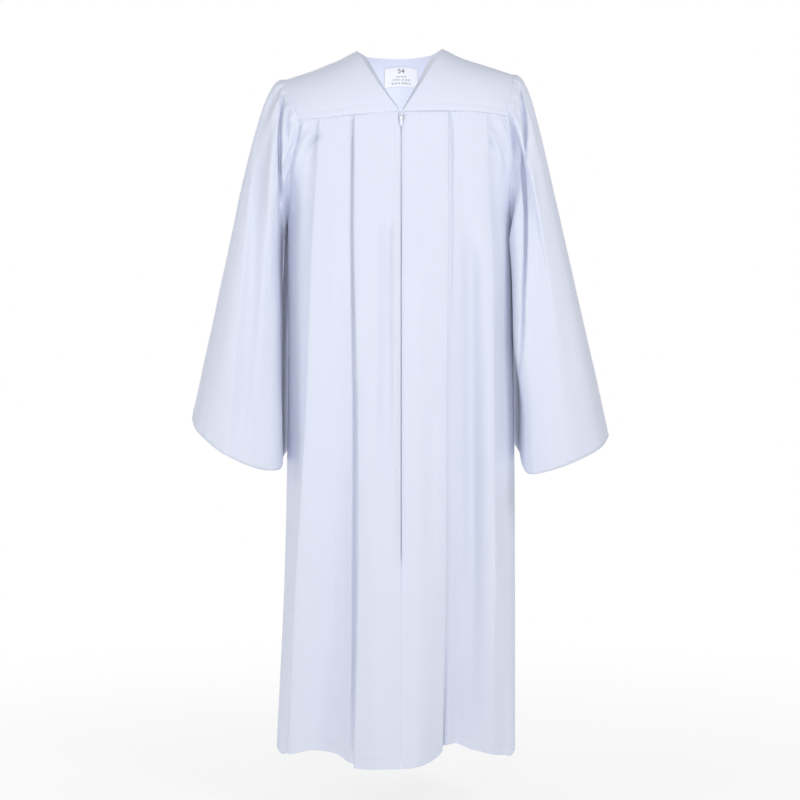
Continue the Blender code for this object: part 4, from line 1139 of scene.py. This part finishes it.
def woven(name, weave, dark, light, thread_gap, depth, roughness, sheen, place="UV"):
    """Cloth of the crepe weave, in a shade that drifts between two colours."""
    made, tree, shader = new_finish(name)
    where = add_node(tree, "TexCoord")
    threads = {"Threads": math.tau / thread_gap, "Place": where.outputs[place]}
    pattern = add_node(tree, "Group", threads, node_tree=weave)
    shades = {"A": (*dark, 1.0), "B": (*light, 1.0), "Factor": pattern.outputs["Shade"]}
    tone = add_node(tree, "Mix", shades, data_type="RGBA")
    raised = {"Strength": 0.5, "Distance": depth, "Height": pattern.outputs["Height"]}
    relief = add_node(tree, "Bump", raised)
    feed(tree, shader, {
        "Base Color": tone.outputs["Result"], "Normal": relief.outputs["Normal"], "Roughness": roughness,
        "Sheen Weight": sheen, "Sheen Roughness": 0.45, "Specular IOR Level": 0.25,
    })
    return made


def smooth_finish(name, colour, roughness, metallic=0.0, coat=0.0, marked=0.08):
    """Moulded or lacquered finish with faint handling marks in its roughness."""
    made, tree, shader = new_finish(name)
    where = add_node(tree, "TexCoord")
    marks = add_node(tree, "TexNoise", {"Scale": 600.0, "Detail": 3.0, "Vector": where.outputs["Object"]})
    ends = {"To Min": roughness - marked, "To Max": roughness + marked, "Value": marks.outputs["Fac"]}
    spread = add_node(tree, "MapRange", ends)
    feed(tree, shader, {
        "Base Color": (*colour, 1.0), "Metallic": metallic, "Coat Weight": coat,
        "Roughness": spread.outputs["Result"],
    })
    return made


weave = weave_group()
robe_cloth = woven(
    "white robe cloth", weave, dark=(0.70, 0.735, 0.86), light=(0.73, 0.765, 0.89),
    thread_gap=0.0007, depth=0.00006, roughness=0.62, sheen=0.12,
)
tape_cloth = woven(
    "white zip tape", weave, dark=(0.66, 0.69, 0.80), light=(0.72, 0.75, 0.85),
    thread_gap=0.0009, depth=0.00010, roughness=0.70, sheen=0.05, place="Object",
)
label_cloth = woven(
    "white label satin", weave, dark=(0.80, 0.81, 0.85), light=(0.84, 0.85, 0.88),
    thread_gap=0.0005, depth=0.00003, roughness=0.45, sheen=0.0,
)
thread = smooth_finish("white sewing thread", (0.80, 0.82, 0.90), roughness=0.55)
# The coil is coloured mid grey, darker than its own white, as painted shade of the narrow gap between the
# lips
coil_painted_shade = smooth_finish("white nylon coil", (0.50, 0.52, 0.58), roughness=0.40)
lacquer = smooth_finish("white lacquered metal", (0.64, 0.66, 0.73), roughness=0.42, metallic=0.1, coat=0.15)
label_ink = smooth_finish("dark label ink", (0.03, 0.03, 0.035), roughness=0.60)


# The pieces

Sheet = namedtuple("Sheet", "name node rows closed width length area rests_on")
SHEETS = (
    Sheet("right_front_cloth", "front_right", front_rows(RIGHT), False,
          0.343, 1.141, 0.366, ["yoke_front_right"]),
    Sheet("left_front_cloth", "front_left", front_rows(LEFT), False,
          0.342, 1.152, 0.358, ["yoke_front_left"]),
    Sheet("back_cloth", "back_panel", back_rows(), False,
          0.755, 1.126, 0.667, ["yoke_back"]),
    Sheet("right_yoke_cloth", "yoke_front_right", front_yoke_rows(RIGHT), False,
          0.190, 0.213, 0.0293, ["yoke_back"]),
    Sheet("left_yoke_cloth", "yoke_front_left", front_yoke_rows(LEFT), False,
          0.200, 0.216, 0.0300, ["yoke_back"]),
    Sheet("back_yoke_cloth", "yoke_back", back_yoke_rows(), False,
          0.500, 0.219, 0.0734, []),
    Sheet("right_sleeve_cloth", "sleeve_right", sleeve_rows(RIGHT), True,
          0.718, 0.648, 0.317, ["yoke_back"]),
    Sheet("left_sleeve_cloth", "sleeve_left", sleeve_rows(LEFT), True,
          0.754, 0.682, 0.318, ["yoke_back"]),
)
for sheet in SHEETS:
    piece = cloth(sheet.name, sheet.rows, robe_cloth, [sheet.node], sheet.closed)
    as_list(sheet.rests_on)

for node, finish in (("zip_tape_right", tape_cloth), ("zip_tape_left", tape_cloth), ("zip_slider", lacquer),
                     ("zip_pull_tab", lacquer), ("zip_bottom_stop", lacquer)):
    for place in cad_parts[node].material_slots:
        place.material = finish


# Zip coil

TOOTH_PITCH = 0.0015
TOOTH_SIZE = (0.0034, 0.0011, 0.0007)
TOOTH_TILT = math.radians(14)
COIL_BEHIND = 0.0017
COIL_BELOW_SLIDER = 0.010


def zip_coil():
    """Closed coil: small bars across the middle, tilted to one side and the other by turns."""
    form = bmesh.new()
    count = int((ZIP_TOP_Z - COIL_BELOW_SLIDER - ZIP_END_Z) / TOOTH_PITCH)
    for number in range(count):
        z = ZIP_END_Z + TOOTH_PITCH * (number + 0.5)
        made = bmesh.ops.create_cube(form, size=1.0)["verts"]
        bmesh.ops.scale(form, vec=TOOTH_SIZE, verts=made)
        tilt = Matrix.Rotation(TOOTH_TILT * (-1) ** number, 3, "Y")
        bmesh.ops.rotate(form, cent=(0, 0, 0), matrix=tilt, verts=made)
        front = FrontRow(RIGHT, front_way(z)).point(LIP_HALF).y
        bmesh.ops.translate(form, vec=(CENTRE_X, front + COIL_BEHIND, z), verts=made)
    return finished("zip_coil_teeth", form, coil_painted_shade, replaces=["zip_chain"])


zip_coil()


# Neck label: plain satin with a size number and rows of plain numbers, inside the back yoke

LABEL_SIZE = (0.0628, 0.0375)
LABEL_WALL = 0.0005
LABEL_ROWS = 16
LABEL_COLUMNS = 24
LABEL_CENTRE_X = 0.0019
LABEL_TOP_WAY = 0.440
LABEL_WAY_LENGTH = 0.185
LABEL_INWARD = 0.0013
PRINT_INWARD = 0.00032
PRINT_DEPTH = 0.00006

# Numbers printed on it: their height, and how far their middle lies right of and below its top middle
Print = namedtuple("Print", "body high right below")
LABEL_PRINT = (
    Print("54", 0.0130, 0.0, 0.0125),
    Print("100 54 60 40", 0.0036, 0.0, 0.0205),
    Print("2 30 100 1 54 20 60", 0.0040, 0.0, 0.0262),
    Print("40 60 54 100 30 12", 0.0046, 0.0, 0.0326),
)


def label_point(right, below, inward):
    """A place on the label, right of and below the middle of its top edge, as the wearer's back sees it."""
    way = LABEL_TOP_WAY + below / LABEL_WAY_LENGTH
    side = RIGHT if right < 0 else LEFT
    here = yoke_point(side, AFT, abs(right), way)
    lower = yoke_point(side, AFT, abs(right), way + 0.01)
    beside = yoke_point(side, AFT, abs(right) + 0.002, way)
    normal = (lower - here).cross(beside - here).normalized()
    return here + normal * (inward if normal.y < 0 else -inward)


def label_patch():
    """The label's cloth, laid on the inside of the back yoke."""
    wide, tall = LABEL_SIZE
    rights = [LABEL_CENTRE_X + wide * (column / LABEL_COLUMNS - 0.5) for column in range(LABEL_COLUMNS + 1)]
    rows = []
    for row in range(LABEL_ROWS + 1):
        rows.append([label_point(right, tall * row / LABEL_ROWS, LABEL_INWARD) for right in rights])
    patch = cloth("neck_label_satin", rows, label_cloth, ["neck_label"], wall=LABEL_WALL)


def label_numbers():
    """Printed numbers, bent onto the label."""
    form = bmesh.new()
    for line in LABEL_PRINT:
        writing = bpy.data.curves.new("number", "FONT")
        writing.body = line.body
        writing.size = line.high
        writing.align_x = "CENTER"
        writing.extrude = PRINT_DEPTH
        holder = bpy.data.objects.new("number", writing)
        flat = bpy.data.meshes.new_from_object(holder)
        for vert in flat.vertices:
            right, up, out = vert.co
            inward = LABEL_INWARD + PRINT_INWARD + out
            vert.co = label_point(LABEL_CENTRE_X + line.right + right, line.below - up, inward)
        form.from_mesh(flat)
        bpy.data.objects.remove(holder)
        bpy.data.meshes.remove(flat)
    bmesh.ops.recalc_face_normals(form, faces=form.faces)
    piece = finished("neck_label_numbers", form, label_ink)
    piece.data.shade_flat()


label_patch()
label_numbers()


# Seams sewn through

# Rows and columns of the cloth that are sewn: the first row of a line down, and those beside the neck
FIRST_STITCHED_ROW = 2
NECK_COLUMN = 12
NECK_ROW = 3
BACK_NECK = (28, 85)

# Bar tack under the zip: how many stitches, how far apart, below the zip and out, and half their length
TACK_STITCHES = 5
TACK_PITCH = 0.0013
TACK_BELOW = 0.0015
TACK_HALF = 0.0024
TACK_PROUD = 0.0004


def run_along(rows, number, start=0, end=None):
    """Points of one row of cloth with the cloth's direction out of the robe."""
    row, below = rows[number], rows[number + 1]
    run = []
    for column in range(start, (end or len(row)) - 1):
        normal = (row[column + 1] - row[column]).cross(below[column] - row[column])
        run.append((row[column], outward(row[column], normal)))
    return run


def run_down(rows, column, last):
    """Points of one column of cloth, down from just under its top, with the same direction."""
    run = []
    for number in range(FIRST_STITCHED_ROW, last):
        here = rows[number][column]
        normal = (rows[number + 1][column] - here).cross(rows[number][column + 1] - here)
        run.append((here, outward(here, normal)))
    return run


def outward(place, normal):
    """A normal of the cloth, turned to point out of the robe."""
    away = Vector((place.x * 0.6, place.y, 0.0))
    return normal.normalized() * (1 if normal.dot(away) > 0 else -1)


def run_round(ring, below):
    """Points all round a cuff, with the cloth's direction out of the sleeve."""
    middle = sum(ring, Vector()) / len(ring)
    run = []
    for here, after, lower in zip(ring, ring[1:] + ring[:1], below):
        normal = (after - here).cross(lower - here).normalized()
        run.append((here, normal * (1 if normal.dot(here - middle) > 0 else -1)))
    return run


def zip_column(side):
    """The column of a front that lies nearest to the stitches along the zip."""
    start, end = ZIP_BAND
    share = (ZIP_STITCH[side] - start) / (end - start)
    return len(LIP_POINTS) + round(share * ZIP_BAND_COLUMNS)


def cuff_row():
    """The row of a sleeve that lies nearest to the stitches of its hem, counting the row tucked under."""
    heights = [(1 - sleeve_way(step)) * SLEEVE_LENGTH for step in range(SLEEVE_ROWS)]
    gaps = [abs(above - HEM_DEPTH) for above in heights]
    return gaps.index(min(gaps)) + 1


def sewing():
    """Machine stitches of the hem, cuffs, zip, yokes and neck, and the bar tack under the zip."""
    rows = {sheet.node: sheet.rows for sheet in SHEETS}
    hem = len(rows["front_right"]) - 1 - HEM_ROWS.index(HEM_DEPTH)
    runs = [run_along(rows[node], hem) for node in ("front_right", "front_left", "back_panel")]
    zip_last = next(number for number, way in enumerate(panel_ways()) if way > ZIP_END)
    for node, side in (("front_right", RIGHT), ("front_left", LEFT)):
        runs.append(run_down(rows[node], zip_column(side), zip_last))
    yoke_line = round(YOKE_ROWS * (1 - YOKE_STITCH / YOKE_LENGTH))
    front_yokes = [rows["yoke_front_right"], rows["yoke_front_left"]]
    runs += [run_along(yoke, yoke_line, NECK_COLUMN) for yoke in front_yokes]
    runs += [run_along(rows["yoke_back"], yoke_line), run_along(rows["yoke_back"], NECK_ROW, *BACK_NECK)]
    runs += [run_down(yoke, NECK_COLUMN, yoke_line) for yoke in front_yokes]
    cuff_line = cuff_row()
    for node in ("sleeve_right", "sleeve_left"):
        runs.append(run_round(rows[node][cuff_line], rows[node][cuff_line + 1]))
    front = Vector((0, -1, 0))
    for step in range(TACK_STITCHES):
        z = ZIP_END_Z - TACK_BELOW - TACK_PITCH * step
        y = FrontRow(RIGHT, front_way(z)).point(TACK_HALF).y - TACK_PROUD
        ends = [Vector((x, y, z)) for x in (CENTRE_X - TACK_HALF, CENTRE_X + TACK_HALF)]
        runs.append([(end, front) for end in ends])
    stitches("machine_stitches", runs, thread)


sewing()


# Floor, light and camera

FLOOR_Z = -1.335
CAMERA_BACK = 2.6
CAMERA_Z = -0.5976
CAMERA_LENS = 65.0


def floor():
    """Pale floor that fades into the white surroundings."""
    form = bmesh.new()
    bmesh.ops.create_circle(form, cap_ends=True, segments=96, radius=9.0)
    bmesh.ops.translate(form, vec=(0, 0, FLOOR_Z), verts=form.verts)
    mesh = bpy.data.meshes.new("floor")
    form.to_mesh(mesh)
    form.free()
    made, tree, shader = new_finish("pale floor")
    feed(tree, shader, {"Base Color": (0.92, 0.92, 0.93, 1.0), "Roughness": 0.9})
    glow = add_node(tree, "Emission", {"Strength": 1.0})
    where = add_node(tree, "TexCoord")
    far = add_node(tree, "VectorMath", {0: where.outputs["Object"]}, operation="LENGTH")
    ends = {"From Min": 0.6, "From Max": 2.4, "To Min": 0.6, "Value": far.outputs["Value"]}
    fade = add_node(tree, "MapRange", ends, interpolation_type="SMOOTHSTEP")
    parts = {"Fac": fade.outputs["Result"], 1: shader.outputs[0], 2: glow.outputs[0]}
    mix = add_node(tree, "MixShader", parts)
    feed(tree, tree.nodes["Material Output"], {"Surface": mix.outputs[0]})
    mesh.materials.append(made)
    piece = bpy.data.objects.new("floor", mesh)
    bpy.context.scene.collection.objects.link(piece)


def surroundings(strength):
    """White seen by the camera, and softer even light for the robe."""
    world = bpy.data.worlds.new("white studio")
    bpy.context.scene.world = world
    world.use_nodes = True
    tree = world.node_tree
    tree.nodes.clear()
    seen = add_node(tree, "Background", {"Color": (1, 1, 1, 1), "Strength": 1.0})
    lit = add_node(tree, "Background", {"Color": (1, 1, 1, 1), "Strength": strength})
    ray = add_node(tree, "LightPath")
    parts = {"Fac": ray.outputs["Is Camera Ray"], 1: lit.outputs[0], 2: seen.outputs[0]}
    mix = add_node(tree, "MixShader", parts)
    add_node(tree, "OutputWorld", {"Surface": mix.outputs[0]})


def lamp(name, place, aim, size, power):
    """A soft lamp at a place, turned towards its aim."""
    light = bpy.data.lights.new(name, "AREA")
    light.shape = "RECTANGLE"
    light.size, light.size_y = size
    light.energy = power
    made = bpy.data.objects.new(name, light)
    made.location = place
    made.rotation_mode = "QUATERNION"
    made.rotation_quaternion = (Vector(aim) - Vector(place)).to_track_quat("-Z", "Y")
    bpy.context.scene.collection.objects.link(made)


floor()
surroundings(0.36)
lamp("side softbox", (2.0, -2.3, 1.7), (0.0, 0.0, -0.45), (1.0, 1.0), 34.0)
lamp("front fill", (0.0, -2.75, 0.15), (0.0, 0.0, -0.5), (0.6, 0.6), 18.0)
lamp("far side fill", (-2.8, -1.5, 0.2), (0.0, 0.0, -0.5), (1.2, 1.2), 19.0)
lamp("back softbox", (-0.8, 3.0, 1.0), (0.0, 0.0, -0.4), (2.0, 1.6), 40.0)
lamp("neck fill", (0.0, -0.045, -0.150), (0.002, 0.085, 0.0), (0.07, 0.03), 0.22)
bpy.data.objects["neck fill"].visible_camera = False

view = bpy.data.cameras.new("camera")
view.lens = CAMERA_LENS
view.sensor_width = 36.0
camera = bpy.data.objects.new("camera", view)
camera.location = (0.0, -CAMERA_BACK, CAMERA_Z)
camera.rotation_euler = (math.pi / 2, 0.0, 0.0)
bpy.context.scene.collection.objects.link(camera)
bpy.context.scene.camera = camera
bpy.context.scene.view_settings.view_transform = "Standard"
